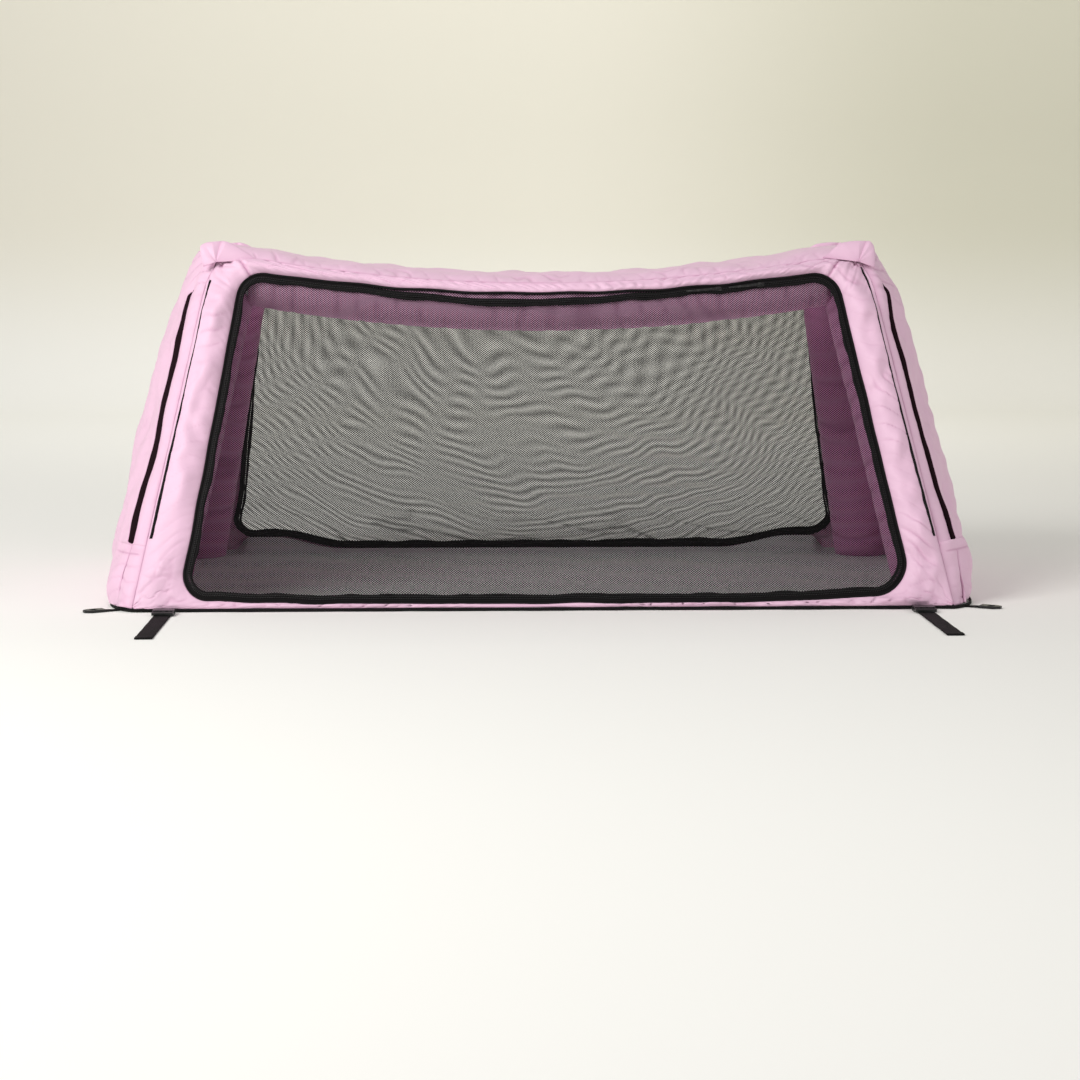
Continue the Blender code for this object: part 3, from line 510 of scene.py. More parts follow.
def moulded(name, tone, rough, worn, metallic=0.0):
    """Plastic or painted metal with a fine grain, a little paler in patches where it is handled."""
    made, tree, shader = start(name, Roughness=rough, Metallic=metallic)
    place = add(tree, "TexCoord").outputs["Object"]
    patch = noise(tree, place, 140.0, 4.0)
    share = add(tree, "MapRange", {"Value": patch, "From Min": 0.52, "From Max": 0.78}).outputs["Result"]
    finished(tree, shader, blended(tree, share, tone, worn), noise(tree, place, 1800.0), 0.12, 0.0004)
    return made


acetal = moulded("black_acetal", "#121213", 0.38, "#252526")
zinc = moulded("painted_zinc", "#121112", 0.30, "#4a4847")
coil = moulded("nylon_coil", "#1d1c1d", 0.35, "#3a3939")
film = moulded("welded_film", "#c9cbd0", 0.30, "#dfe1e4")

# %% [markdown]
# ## Mesh
# The windows are knitted polyester mesh, black so that the eye looks through it. A real
# hole is about 2 mm across, less than a pixel here, so the pattern draws holes in staggered
# rows 6 mm apart. The product of two cosines is positive in just such diamonds, and the
# shader lets light through there. Where two meshes lie behind one another their rows beat
# and draw long pale streaks. The back mesh hangs in a shallow curve, so its rows are drawn
# curved too and the streaks fan out as in the photograph. It is further off, so its holes are
# less clear than the front's. Where a fold lays mesh over mesh, fewer holes are open.


# %% Knitted mesh
def knitted_mesh(name, across, down, clear, warp):
    """Holes across and down metres apart. clear is how far alpha swings, warp how far rows drift."""
    made, tree, shader = start(name, Roughness=0.8, Specular_IOR_Level=0.15)
    shader.inputs["Base Color"].default_value = colour("#0b0a0b")
    cut = cut_of(tree)
    drift = noise(tree, cut, 2.4, 1.0, "Color")
    slack = add(tree, "VectorMath", {0: drift, 1: (warp, warp, 0.0), 2: cut}, operation="MULTIPLY_ADD")
    pitch = (2 * math.pi / across, 2 * math.pi / down, 1.0)
    laid = add(tree, "Mapping", {"Vector": slack.outputs["Vector"], "Scale": pitch})
    split = add(tree, "SeparateXYZ", {"Vector": laid.outputs["Vector"]})
    row, line = [maths(tree, "COSINE", split.outputs[axis]) for axis in ("X", "Y")]
    weave = maths(tree, "MULTIPLY", row, line)
    holes = maths(tree, "MULTIPLY_ADD", shade_and_fold_of(tree), -0.9, weave)
    solid = add(tree, "MapRange", {"Value": holes, "From Min": -0.36, "From Max": 0.34,
                                   "To Min": 0.5 + clear, "To Max": 0.5 - clear})
    tree.links.new(solid.outputs["Result"], shader.inputs["Alpha"])
    return made


front_mesh = knitted_mesh("knitted_mesh_front", 0.0062, 0.0052, 0.5, 0.004)
back_mesh = knitted_mesh("knitted_mesh_back", 0.0072, 0.0056, 0.34, 0.016)

# %% [markdown]
# ## The wall round the window
# Four strips of nylon are sewn into a frame and blown out by the tubes behind them. The
# grid runs round the frame and across it, from the corner seam to the zip. Its height is
# a power of a sine, fullest over the corner tubes, and seams pull small puckers into it.
# At each top corner the end of the tube's sleeve shows as a round seam.

# %% Front and back wall
SLEEVE_END = np.array([(0.765, 0.790), (0.757, 0.800), (0.744, 0.804), (0.730, 0.803), (0.716, 0.794),
                       (0.703, 0.779), (0.692, 0.764), (0.681, 0.750)])


def nylon_sheet(name, points, shade, turn, *nodes, ring=False, dark=None):
    """A sheet of pink nylon on the cabin, 1.2 mm thick, with its painted shade and any cells of painted slit
    shade.
    """
    piece = grid_mesh(name, points, measured(points, ring), [pink, slit_shade] if dark else [pink], ring=ring,
                      thick=CLOTH, shade=np.clip(shade, 0.0, 1.0), dark=dark, turn=turn)
    return dress(piece, "cabin", "pink_nylon", *nodes)


def distance_to(line, places):
    """Distance from places to a line of points, in steps finer than the line's own."""
    share = np.linspace(0.0, 1.0, 6)[:, None]
    points = np.concatenate([a + (b - a) * share for a, b in zip(line[:-1], line[1:])])
    return np.min(np.linalg.norm(places[..., None, :] - points, axis=-1), axis=-1)


def droop(x):
    """The zip hangs up to 11 mm below the wall's edge in the middle of the top."""
    return 0.011 * np.clip(1.0 - ((x + 0.06) / 0.41) ** 2, 0.0, 1.0) ** 2


def zip_edge(face_name):
    """The window's outline, wandering up to about 1.5 mm as a sewn zip does."""
    edge = window_edges[face_name]
    return inset(edge, 0.0008 * waves(edge[:, 0], edge[:, 1], 0.16, 3 if face_name == "front" else 8))


def gather(points):
    """Round off the four top corners: sink the cloth by up to 22 mm and pleat it round each."""
    moved = points.copy()
    for sx in (-1, 1):
        for sy in (-1, 1):
            away = points - np.array([sx * 0.774, sy * 0.232, 0.822])
            out = unit(np.array([sx * 0.50, sy * 0.25, 0.83]))
            side = unit(np.cross(out, [0.0, 0.0, 1.0]))
            span = np.linalg.norm(away, axis=-1)
            turn = np.arctan2(away @ np.cross(out, side), away @ side)
            pleat = np.abs(np.sin(3.5 * turn + 1.3 + 0.7 * sx + 0.4 * sy + 9.0 * span)) - 0.6
            lift = bell(span, 0.060) * (-0.022 + 0.007 * smooth(span, 0.004, 0.035) * pleat)
            moved += lift[..., None] * out
    return moved


wall_grids = {}


def wall_cloth(face_name, face):
    """Share runs from the seam to the zip; the crown is up to 24 mm of sin(pi share) to the 0.7."""
    outer, inner = wall_edge, inset(zip_edge(face_name), -0.0004)
    turn = np.linspace(0.0, math.pi, 31)
    share = 0.5 - 0.5 * np.cos(turn) * (1 - 0.25 * np.sin(turn))
    share = (share - share[0]) / (share[-1] - share[0])
    flat = outer[:, None, :] + (inner - outer)[:, None, :] * share[:, None]
    room = np.linalg.norm(inner - outer, axis=1)[:, None]
    from_seam, from_zip = share * room, (1.0 - share) * room
    x, z = flat[..., 0], flat[..., 1]
    seed = 20 if face_name == "front" else 40
    along, across = np.moveaxis(measured(on_wall(flat, 0.0, face), True)[:-1], -1, 0)

    # where the cloth is full, narrow or pressed down
    top = smooth(z, 0.66, 0.74)
    left_foot = smooth(-x, 0.3, 0.6) * smooth(0.34 - z, 0.0, 0.16)
    wide = np.clip(room / 0.035, 0.0, 1.0) ** 1.5
    body = np.sin(math.pi * share) * np.clip(room / 0.08, 0.0, 1.0)
    fine = body * np.maximum(top, smooth(room, 0.020, 0.055))
    fullest = np.clip(share, 0.0, 1.0) ** (1.0 + 0.9 * top)
    crown = np.minimum(0.024, (0.36 - 0.22 * top) * room) * np.abs(np.sin(math.pi * fullest)) ** 0.7
    crown = crown * (0.4 + 0.6 * smooth(z, 0.03, 0.09)) * (1.0 - 0.25 * left_foot)

    # waves and creases
    soft = fine * (1.0 - 0.5 * top) * (1.0 - 0.6 * left_foot)
    soft = soft * (0.0032 * waves(x, z, 0.13, seed) + 0.0017 * waves(x, z, 0.05, seed + 1))
    patch = smooth(waves(x, z, 0.22, seed + 6), -0.3, 1.2)
    sharp = creases(np.abs(x), z, 0.055, seed + 2, 0.22, lean=1.05, spread=0.45)
    sharp = fine * (0.0011 + 0.0027 * patch) * sharp
    crumple = 0.0024 * fine * smooth(0.17 - z, 0.0, 0.12) * creases(x, z, 0.05, seed + 8, 0.25)
    pucker = waves(along + 0.45 * across, 0.3 * across, 0.021, seed + 7, 0.0, 0.3)
    pucker = 0.0009 * smooth(z, 0.69, 0.73) * np.sin(math.pi * share) * pucker

    # gathers along the seam and the zip
    pulled = fade(from_seam, 0.014) * (1.0 - fade(from_seam, 0.003)) * (0.0014 + 0.0008 * top) * wide
    pulled = pulled * waves(along, across * 0.35, 0.03, seed + 3, 0.0, 0.5)
    pulled = pulled * (1.0 - 0.92 * top * bell(np.abs(x) - 0.725, 0.065))
    near_zip = fade(from_zip, 0.012) * (1.0 - fade(from_zip, 0.003)) * 0.0009 * wide
    pulled = pulled + near_zip * waves(along, across * 0.4, 0.028, seed + 4, 0.0, 0.6)

    # the round seam at the end of each sleeve, and the cloth beside it
    seam = distance_to(SLEEVE_END, columns(np.abs(x), z))
    groove = bell(seam, 0.0030)
    out = crown + soft - sharp - crumple + pucker + pulled
    out = out + 0.0020 * bell(seam - 0.008, 0.006) - 0.0045 * groove
    points = gather(on_wall(flat, out, face))
    wall_grids[face_name] = points, share, room[:, 0]

    # the fold attribute paints shade: in the creases, at the sewn join at each foot, in the sleeve's groove,
    # along the seam and beside the zip
    joined = bell(np.abs(x) - 0.705, 0.003) * smooth(0.045 - z, 0.0, 0.01) * body
    seam_shade = 0.45 * (1.0 - 0.8 * top * smooth(x, -0.2, 0.2)) * fade(from_seam, 0.0025)
    shade = 0.45 * (sharp + crumple) / 0.0038 + 0.5 * joined + 0.75 * groove
    shade = shade + seam_shade + 0.35 * fade(from_zip, 0.002)
    panels = [face_name + part for part in ("_wall", "_header_panel") if face_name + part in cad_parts]
    return nylon_sheet(face_name + "_wall_cloth", points, shade, face < 0, *panels, ring=True)


walls = {name: wall_cloth(name, face) for name, face in FACES.items()}
print("front wall points:", len(walls["front"].data.vertices))

# %% [markdown]
# ## The roof
# One sheet of nylon sags between the corners and rolls over the beams at its edges. The
# same grid as a rug: one way from end to end, the other from front to back, with the roll
# a high power of the distance to the edge. The seams along its long edges gather it into
# short slanting creases.


# %% Roof
def roof_cloth():
    """The roof's parabola, less a roll of 22 mm by the 8th power across and the 14th along."""
    across = np.linspace(-1.0, 1.0, 161)
    across = np.sign(across) * np.abs(across) ** 0.7
    u, v = np.meshgrid(np.linspace(-1.0, 1.0, 361), across, indexing="ij")
    x = u * end_point(v, HEADER_TOP)[..., 0]
    edge = header_line(np.minimum(np.abs(x), seam_half(CORNER)))
    roll = np.maximum(np.abs(v) ** 8, np.abs(u) ** 14)
    z = edge + HEADER_DROP - (HEADER_DROP - 0.0005) * roll
    y = v * -front_y(edge)
    base = columns(x, y, z)
    rim = np.minimum((1.0 - np.abs(v)) * 0.25, (1.0 - np.abs(u)) * 0.78)
    inside = 1.0 - fade(rim, 0.006)
    soft = 0.0029 * waves(x, y, 0.20, 61) + 0.0011 * waves(x, y, 0.07, 62)
    # the arch is right under the cloth at each end and holds it up
    soft = soft * (1.0 - 0.6 * smooth(np.abs(x), 0.52, 0.64)) + 0.0045 * smooth(np.abs(x), 0.55, 0.66)
    soft = soft * (0.45 + 0.55 * smooth(rim, 0.01, 0.07))
    patch = smooth(waves(x, y, 0.30, 65), -0.2, 1.3)
    folds = creases(x, y, 0.085, 63, 0.20, lean=0.25, spread=0.45)
    folds = (0.0016 * patch + 0.0030 * fade(rim, 0.035)) * folds
    gathered = 0.0015 * fade(rim, 0.020) * waves(x + 0.6 * np.abs(y), 0.2 * y, 0.034, 64, 0.0, 0.35)
    lift = inside * (soft - folds + gathered)
    up = normals(base)
    points = gather(base + lift[..., None] * up * np.sign(up[..., 2:]))
    # the fold attribute paints shade in the creases and along the rim
    shade = 0.40 * inside * folds / 0.0038 + 0.5 * fade(rim, 0.002)
    return nylon_sheet("roof_cloth", points, shade, True, "roof_panel")


roof = roof_cloth()

# %% [markdown]
# ## The end walls and their slits
# Each end is one bulging sheet with two long slits, kept open a little by the tubes that
# push the cloth out beside them. The grid's columns follow the edges of the slits, so the
# cells between two edges can be sunk into the cabin and given a dark maroon sheet, painted
# shade for the dim inside seen through each slit.


# %% End walls
SLIT_LOW, SLIT_HIGH = 0.145, {-1: 0.730, 1: 0.747}
SLIT_HALF = {-1: 0.0081, 1: 0.0066}
LEDGE = 0.124
EASE_STEPS, MIDDLE_STEPS = 15, 70
SLIT_HEIGHTS = (0.145, 0.28, 0.42, 0.56, 0.73)
SLIT_SHARES = {-1: (0.926, 0.898, 0.872, 0.848, 0.796), 1: (0.926, 0.904, 0.896, 0.898, 0.880)}


def slit_place(z, side):
    """Where the slit's middle is, as a share of the way from the end's middle to the seam: a cubic."""
    return np.polyval(np.polyfit(SLIT_HEIGHTS, SLIT_SHARES[side], 3), np.clip(z, SLIT_LOW, SLIT_HIGH[side]))


def slit_half(z, side, seed):
    """Half the slit's width: 7 or 8 mm, a little wavy, square at the foot and a point at the top."""
    body = smooth(z, SLIT_LOW - 0.001, SLIT_LOW + 0.003)
    body = body * np.clip((SLIT_HIGH[side] - z) / 0.12, 0.0, 1.0) ** 0.8
    pick = np.random.default_rng(seed)
    wave = sum(np.sin(2 * math.pi * z / size + pick.uniform(0, 6.3)) for size in (0.31, 0.13, 0.07))
    return SLIT_HALF[side] * body * (1.0 + 0.09 * wave)


def end_columns(rows, side, seed):
    """Shares of the way across the end for each row, from seam to seam along the slits' edges."""
    within = np.array([[0.04, 0.96]])
    rims, gaps, edges = [], [], []
    for k, sign in enumerate((-1.0, 1.0)):
        half = slit_half(rows, side, seed + k) / -front_y(rows)
        far, near = slit_place(rows, side) + half, slit_place(rows, side) - half
        rims.append(sign * (1.0 - eased(EASE_STEPS)[None, :] * (1.0 - far[:, None])))
        gaps.append(sign * (far[:, None] + (near - far)[:, None] * within))
        edges.append(sign * near)
    middle = edges[0][:, None] + (edges[1] - edges[0])[:, None] * eased(MIDDLE_STEPS)[None, :]
    return np.concatenate([rims[0], gaps[0], middle, gaps[1][:, ::-1], rims[1][:, ::-1]], axis=1)


def end_cloth(side_name, side):
    """The end wall's formula, with soft waves, puckers at the slits and seams, and sunk slits."""
    rows = np.sort(np.concatenate([np.linspace(WALL_LOW, HEADER_TOP, 230), [SLIT_LOW, SLIT_LOW + 0.003]]))
    seed = 70 if side > 0 else 90
    t = end_columns(rows, side, seed)
    z = np.broadcast_to(rows[:, None], t.shape)
    base = end_point(t, z)
    out = normals(base)
    out = out * np.sign(out[..., :1].mean())
    depth = -front_y(z)
    y = t * depth

    # distances to the seam and to the slit
    seam_gap = (1.0 - np.abs(t)) * depth
    half = np.where(t < 0, slit_half(z, side, seed), slit_half(z, side, seed + 1))
    off_slit = (np.abs(t) - slit_place(z, side)) * depth
    open_here = smooth(half, 0.0006, 0.0022)
    slit_gap = np.abs(np.abs(off_slit) - half)
    inside = 1.0 - fade(seam_gap, 0.005)

    # waves and creases, calm beside the slit
    calm = 1.0 - 0.8 * open_here * bell(off_slit, 0.05)
    soft = calm * (0.0045 * waves(y, z, 0.22, seed + 2) + 0.0016 * waves(y, z, 0.07, seed + 3))
    patch = smooth(waves(y, z, 0.28, seed + 8), -0.2, 1.3)
    deep = 0.0014 * patch + 0.0026 * smooth(z, 0.64, 0.78) + 0.0026 * fade(z - WALL_LOW, 0.05)
    folds = calm * deep * creases(y, z, 0.065, seed + 4, 0.22, lean=1.1, spread=0.6)
    puckers = 0.0013 * fade(seam_gap, 0.02) * waves(0.3 * y, z, 0.03, seed + 6)
    puff = 0.004 * np.clip(off_slit / 0.02, 0.0, 1.0) * np.sin(math.pi * np.clip(seam_gap / 0.06, 0, 1))

    # the slit's lips, the right end's shoulder, and the stitched lines at the foot
    lips = open_here * fade(slit_gap, 0.03) * np.where(off_slit < 0, 0.0080, 0.0008)
    shoulder = (side > 0) * 0.010 * bell(z - 0.705, 0.05)
    stitched = bell(np.abs(z - LEDGE), 0.0022) * smooth(np.abs(t), 0.76, 0.82)
    stitched = stitched * (1 - smooth(np.abs(t), 0.97, 0.99))
    run = bell(off_slit, 0.0022) * smooth(LEDGE - z, 0.0, 0.004) * smooth(z, 0.03, 0.05)
    lift = inside * (soft - folds + puckers + puff + shoulder) + lips - 0.0018 * stitched - 0.002 * run
    lift = np.where(np.abs(off_slit) < 0.93 * half, shoulder - 0.009, lift)
    points = gather(base + lift[..., None] * out)
    points[..., 0] *= side
    # the fold attribute paints shade in the creases, along the stitched lines, at the seams and at the
    # slit's edges
    shade = 0.5 * inside * folds / 0.0045 + 0.6 * (stitched + run) + 0.55 * fade(seam_gap, 0.003)
    shade = shade + 0.6 * open_here * fade(slit_gap, 0.002)

    # the cells between a slit's edges take the dark sheet, painted shade for the inside seen through the
    # slit
    last = EASE_STEPS + 2 + MIDDLE_STEPS
    sunk = [first + k for first in (EASE_STEPS, last) for k in (-1, 0, 1)]
    reach = [int(np.searchsorted(rows, height)) for height in (SLIT_LOW, SLIT_HIGH[side] - 0.004)]
    nodes = [side_name + "_end_wall"] + [f"{side_name}_{face}_end_zip" for face in FACES]
    return nylon_sheet(side_name + "_end_cloth", points, shade, side > 0, *nodes, dark=(reach, sunk))


ends = {name: end_cloth(name, side) for name, side in SIDES.items()}

# %% [markdown]
# ## Thin black lines at the corners
# A narrow covered zip runs up each corner seam. Only a dark line shows, 3 to 5 mm wide,
# square at its foot and thinning out upwards. It is a circle carried along the seam, on a
# line taken from the wall's own grid, so that it lies on the cloth.


# %% Tubes along a path
def swept(path, radii, sides):
    """A circle carried along a path: the path's frame is turned along it without twist."""
    tangent = unit(np.gradient(path, axis=0))
    first = np.zeros_like(path)
    side = np.array([1.0, 0.0, 0.0]) if abs(tangent[0][0]) < 0.9 else np.array([0.0, 1.0, 0.0])
    for k, direction in enumerate(tangent):
        side = unit(side - (side @ direction) * direction)
        first[k] = side
    second = np.cross(tangent, first)
    turn = np.linspace(0.0, 2 * math.pi, sides + 1)[None, :, None]
    ring = np.cos(turn) * first[:, None, :] + np.sin(turn) * second[:, None, :]
    return path[:, None, :] + np.reshape(radii, (-1, 1, 1)) * ring


def tube_mesh(name, rings, finish, body, slot, *nodes, shade=None):
    """A closed tube from rings, riding on a body."""
    piece = grid_mesh(name, rings, measured(rings), [finish], shade=shade)
    return dress(welded(piece, closed_outwards), body, slot, *nodes)


# %% Corner lines
def beside_seam(face_name, side, inward):
    """Points of the wall's grid at one distance in from the corner seam, from the foot up."""
    points, share, room = wall_grids[face_name]
    right = 2 * ARC + EDGES[0] - 1
    left = 4 * ARC + sum(EDGES[:3]) - 3
    rows = np.arange(right, right + EDGES[1] - 1)
    if side < 0:
        rows = np.arange(left, left + EDGES[3] - 1)[::-1]
    column = np.interp(inward / room[rows], share, np.arange(len(share)))
    low = column.astype(int)
    part = (column - low)[:, None]
    return points[rows, low] * (1.0 - part) + points[rows, low + 1] * part


LINE_FOOT, LINE_TOPS = 0.160, {"left": 0.748, "right": 0.778}
LINE_INWARD = {"left": 0.0095, "right": 0.0120}
for side_name, side in SIDES.items():
    for face_name, face in FACES.items():
        top = LINE_TOPS[side_name]
        path = beside_seam(face_name, side, LINE_INWARD[side_name])
        path = relaxed(path[(path[:, 2] > LINE_FOOT) & (path[:, 2] < top)])
        z = path[:, 2]
        radius = 0.0015 + 0.0024 * smooth(0.60 - z, 0.0, 0.35) + 0.0010 * bell(z - top, 0.05)
        radius = radius + 0.0003 * np.sin(z * 60.0)
        path = path + np.array([0.0, -face * math.cos(LEAN), math.sin(LEAN)]) * 0.0014
        name = f"{side_name}_{face_name}_corner_line"
        tube_mesh(name, swept(path, radius, 10), zip_tape, "cabin", "black_zip")

# %% [markdown]
# ## Tufts at the top corners
# Three cloths and two tubes meet at each top corner, and the spare cloth stands up in a
# small pleated tuft. It is a flattened pouch: rays run from one puckered point to the
# outline that the photograph shows, bulge to the front and back, and fold in a few flat facets.

# %% Corner tufts
TUFTS = {
    "left": ((-0.766, 0.789), [
        (-0.798, 0.778), (-0.801, 0.794), (-0.805, 0.810), (-0.806, 0.8276), (-0.794, 0.8345),
        (-0.777, 0.8365), (-0.753, 0.8395), (-0.734, 0.8335), (-0.710, 0.8204), (-0.694, 0.811),
        (-0.668, 0.794)]),
    "right": ((0.757, 0.790), [
        (0.672, 0.800), (0.690, 0.812), (0.706, 0.826), (0.722, 0.835), (0.745, 0.8385),
        (0.772, 0.8395), (0.788, 0.8395), (0.797, 0.829), (0.800, 0.806), (0.797, 0.776)])}
# where each tuft folds along its outline, and how far out each fold stands, from -1 to 1
TUFT_FOLDS = {
    "left": [(0.0, -1.0), (0.17, 0.5), (0.30, -0.1), (0.40, 0.9), (0.50, -1.0), (0.57, 0.8), (0.78, 0.1),
             (1.0, -1.0)],
    "right": [(0.0, -1.0), (0.30, 0.4), (0.52, 0.7), (0.61, -1.0), (0.67, 0.8), (0.74, 0.2), (0.80, 0.7),
              (1.0, -0.8)]}


def tuft(side_name, face_name, face):
    """Place: pucker plus the ray by the sine of v, and 12 mm of the cosine of v front and back."""
    pucker, outline = np.array(TUFTS[side_name][0]), np.array(TUFTS[side_name][1])
    a = np.linspace(0.0, 1.0, 90)
    rim = relaxed(at_lengths(outline, a * run_of(outline)[-1]))
    v = np.linspace(0.0, math.pi, 33)
    far = np.sin(v)[None, :] ** 0.8
    pleat = np.interp(a, *np.array(TUFT_FOLDS[side_name]).T)[:, None]
    flat = pucker + (rim[:, None, :] - pucker) * (far * (1.0 + 0.015 * pleat * far))[..., None]
    x, z = flat[..., 0], flat[..., 1]
    y = front_y(z) + 0.001 - (0.012 + 0.0062 * pleat * far) * np.cos(v)[None, :]
    points = columns(x, face * y, z)
    # the fold attribute paints shade in the pleats' valleys and round the pucker
    shade = 0.55 * fade(pleat + 1.0, 0.35) * far + 0.5 * fade(far, 0.25)
    return nylon_sheet(f"{side_name}_{face_name}_corner_tuft", points, shade, face > 0)


tufts = [tuft(side_name, *face) for side_name in SIDES for face in FACES.items()]

# %% [markdown]
# ## Window zips
# A zip is two tapes with a coil sewn to each. From the outside in there is a binding cord
# along the nylon, flat tape, the two coils and more tape over the edge of the mesh. Each
# half is one profile carried round the window's outline. In the middle of the top the
# tape hangs away from its binding and a sliver of mesh shows between them.


# %% Zip profiles
CORD = [(0.0000, -0.0010), (0.0004, 0.0016), (0.0016, 0.0030), (0.0034, 0.0032), (0.0050, 0.0020),
        (0.0056, 0.0004), (0.0056, -0.0010)]
TAPE = [(0.0050, -0.0006), (0.0052, 0.0006), (0.0080, 0.0009), (0.0098, 0.0012), (0.0104, 0.0030),
        (0.0120, 0.0037), (0.0134, 0.0030), (0.0135, -0.0006)]
INNER = [(0.0139, -0.0006), (0.0140, 0.0030), (0.0154, 0.0037), (0.0170, 0.0030), (0.0176, 0.0012),
         (0.0215, 0.0010), (0.0222, 0.0022), (0.0250, 0.0026), (0.0274, 0.0016), (0.0280, -0.0006)]


def carried(face_name, face, profile, hang):
    """A profile of inward and outward steps round the zip's edge, hanging by droop times hang."""
    edge = zip_edge(face_name)
    top = (edge[:, 1] > 0.5) * droop(edge[:, 0]) * hang
    seed = 5 if face_name == "front" else 9
    rings = []
    for inward, out in profile + profile[:1]:
        flat = inset(edge, inward + top)
        if inward > 0.02:
            # the inner edge of the tape is cut a little unevenly, and the back's foot more
            x, z = flat[:, 0], flat[:, 1]
            uneven = 0.0006 * waves(x, z, 0.05, seed) + 0.0012 * waves(x, z, 0.15, seed + 1)
            slack = 0.0012 * np.clip(waves(x, 0.0, 0.14, seed + 2), 0.0, 2.0) + 0.0050 * bell(x - 0.40, 0.10)
            flat = inset(flat, uneven - 0.0062 if face > 0 else uneven - 0.0075 + (z < 0.10) * slack)
        rings.append(on_wall(flat, out, face))
    return np.stack(rings, axis=1)


ZIP_BANDS = (("_zip_cord", CORD, 0.0, "cabin", "_zip_wall_tape"), ("_zip_outer_tape", TAPE, 1.0, "cabin"),
             ("_zip_inner_tape", INNER, 1.0, "{}_door", "_zip_door_tape"))
for face_name, face in FACES.items():
    for part, profile, hang, body, *nodes in ZIP_BANDS:
        rings = carried(face_name, face, profile, hang)
        piece = grid_mesh(face_name + part, rings, measured(rings, True), [zip_tape], ring=True)
        dress(welded(piece), body.format(face_name), "black_zip", *[face_name + node for node in nodes])

# %% [markdown]
# ## Coils
# The coils are what glints along a zip. One turn of nylon wire is about 1.5 mm; drawn here
# every 4 mm, as short raised teeth on each side of the middle.


# %% Coil teeth
TOOTH_STEP = 0.004
BLOCK = np.array([(0, 1, 2, 3), (4, 7, 6, 5), (0, 4, 5, 1), (1, 5, 6, 2), (2, 6, 7, 3), (3, 7, 4, 0)])


def teeth(face_name, face, inward, body, suffix):
    """Small blocks every 4 mm round the zip, each a wedge of eight corners."""
    edge = zip_edge(face_name)
    line = inset(edge, inward + (edge[:, 1] > 0.5) * droop(edge[:, 0]))
    closed = np.concatenate([line, line[:1]])
    length = run_of(closed)[-1]
    count = int(length / TOOTH_STEP)
    middle = at_lengths(closed, np.arange(count) * length / count)
    along, across = edge_frame(middle)
    corners = []
    for out, shrink in ((0.0020, 1.0), (0.0044, 0.6)):
        for a, b in ((-1, -1), (1, -1), (1, 1), (-1, 1)):
            flat = middle + along * a * 0.0011 * shrink + across * b * 0.0015 * shrink
            corners.append(on_wall(flat, out, face))
    mesh = bpy.data.meshes.new(face_name + suffix)
    faces = (np.arange(count)[:, None, None] * 8 + BLOCK).reshape(-1, 4)
    mesh.from_pydata(np.stack(corners, axis=1).reshape(-1, 3), [], faces)
    mesh.materials.append(coil)
    return dress(welded(placed(face_name + suffix, mesh)), body, "black_zip")


for face_name, face in FACES.items():
    teeth(face_name, face, 0.0119, "cabin", "_outer_coil")
    teeth(face_name, face, 0.0157, face_name + "_door", "_inner_coil")

# %% [markdown]
# ## Mesh doors
# The door is a flat cut of mesh, stretched by its zip. Rows of the grid are as wide as the
# window is at their height, then everything sags with the window's top. The front one
# hangs nearly flat. The back one is slack, and its foot lies in soft folds.


# %% Mesh doors
def mesh_door(face_name, face, finish, slack, seed):
    """Half the width is read from the outline at each height; slack times soft waves stand out."""
    inner = inset(straight_window(face_name), 0.0172 if face > 0 else 0.0165)
    low, high = inner[:, 1].min(), inner[:, 1].max()
    rows = low + (high - low) * eased(110)
    halves = []
    for sign in (-1, 1):
        part = inner[sign * inner[:, 0] > 0]
        part = part[np.argsort(part[:, 1])]
        widest = np.maximum.accumulate(sign * part[:, 0][::-1])[::-1]
        halves.append(np.interp(rows, part[:, 1], widest)[:, None])
    a = np.linspace(-1.0, 1.0, 240)[None, :]
    half = np.where(a < 0, *halves)
    z = rows[:, None]
    flat = sagged(columns(a * half, z), WINDOW_LOW, WINDOW_HIGH, WINDOW_HALF[1], window_line)
    drop = droop(flat[..., 0]) * smooth(z, 0.3, high)
    flat = window_moved(face_name, flat) - columns(0.0, drop)

    # free cloth hangs in waves, and the slack at the foot lies in folds
    free = 1.0 - fade(np.minimum((1.0 - np.abs(a)) * half, np.minimum(z - low, high - z)), 0.03)
    u, v = flat[..., 0], flat[..., 1]
    lain = creases(u, v, 0.17, seed + 2, 0.16, lean=1.25, spread=0.4)
    lain = fade(np.clip(v - low, 0.0, 1.0), 0.055) * lain
    hung = waves(u, v, 0.32, seed) + 0.4 * waves(u, v, 0.11, seed + 1) + 1.4 * lain
    out = -0.001 + slack * free * hung
    up = v / math.cos(LEAN)
    if face_name == "back":
        # drawn in a shallow curve, by the square of x and of the distance down
        up = up - 0.15 * u ** 2 - 0.10 * (0.78 - up) ** 2
    piece = grid_mesh(face_name + "_mesh", on_wall(flat, out, face), columns(u, up), [finish],
                      shade=lain * (slack > 0.002), turn=face < 0)
    return dress(piece, face_name + "_door", "black_mesh", face_name + "_mesh_door")


doors = {"front": mesh_door("front", 1, front_mesh, 0.0012, 110),
         "back": mesh_door("back", -1, back_mesh, 0.0045, 120)}


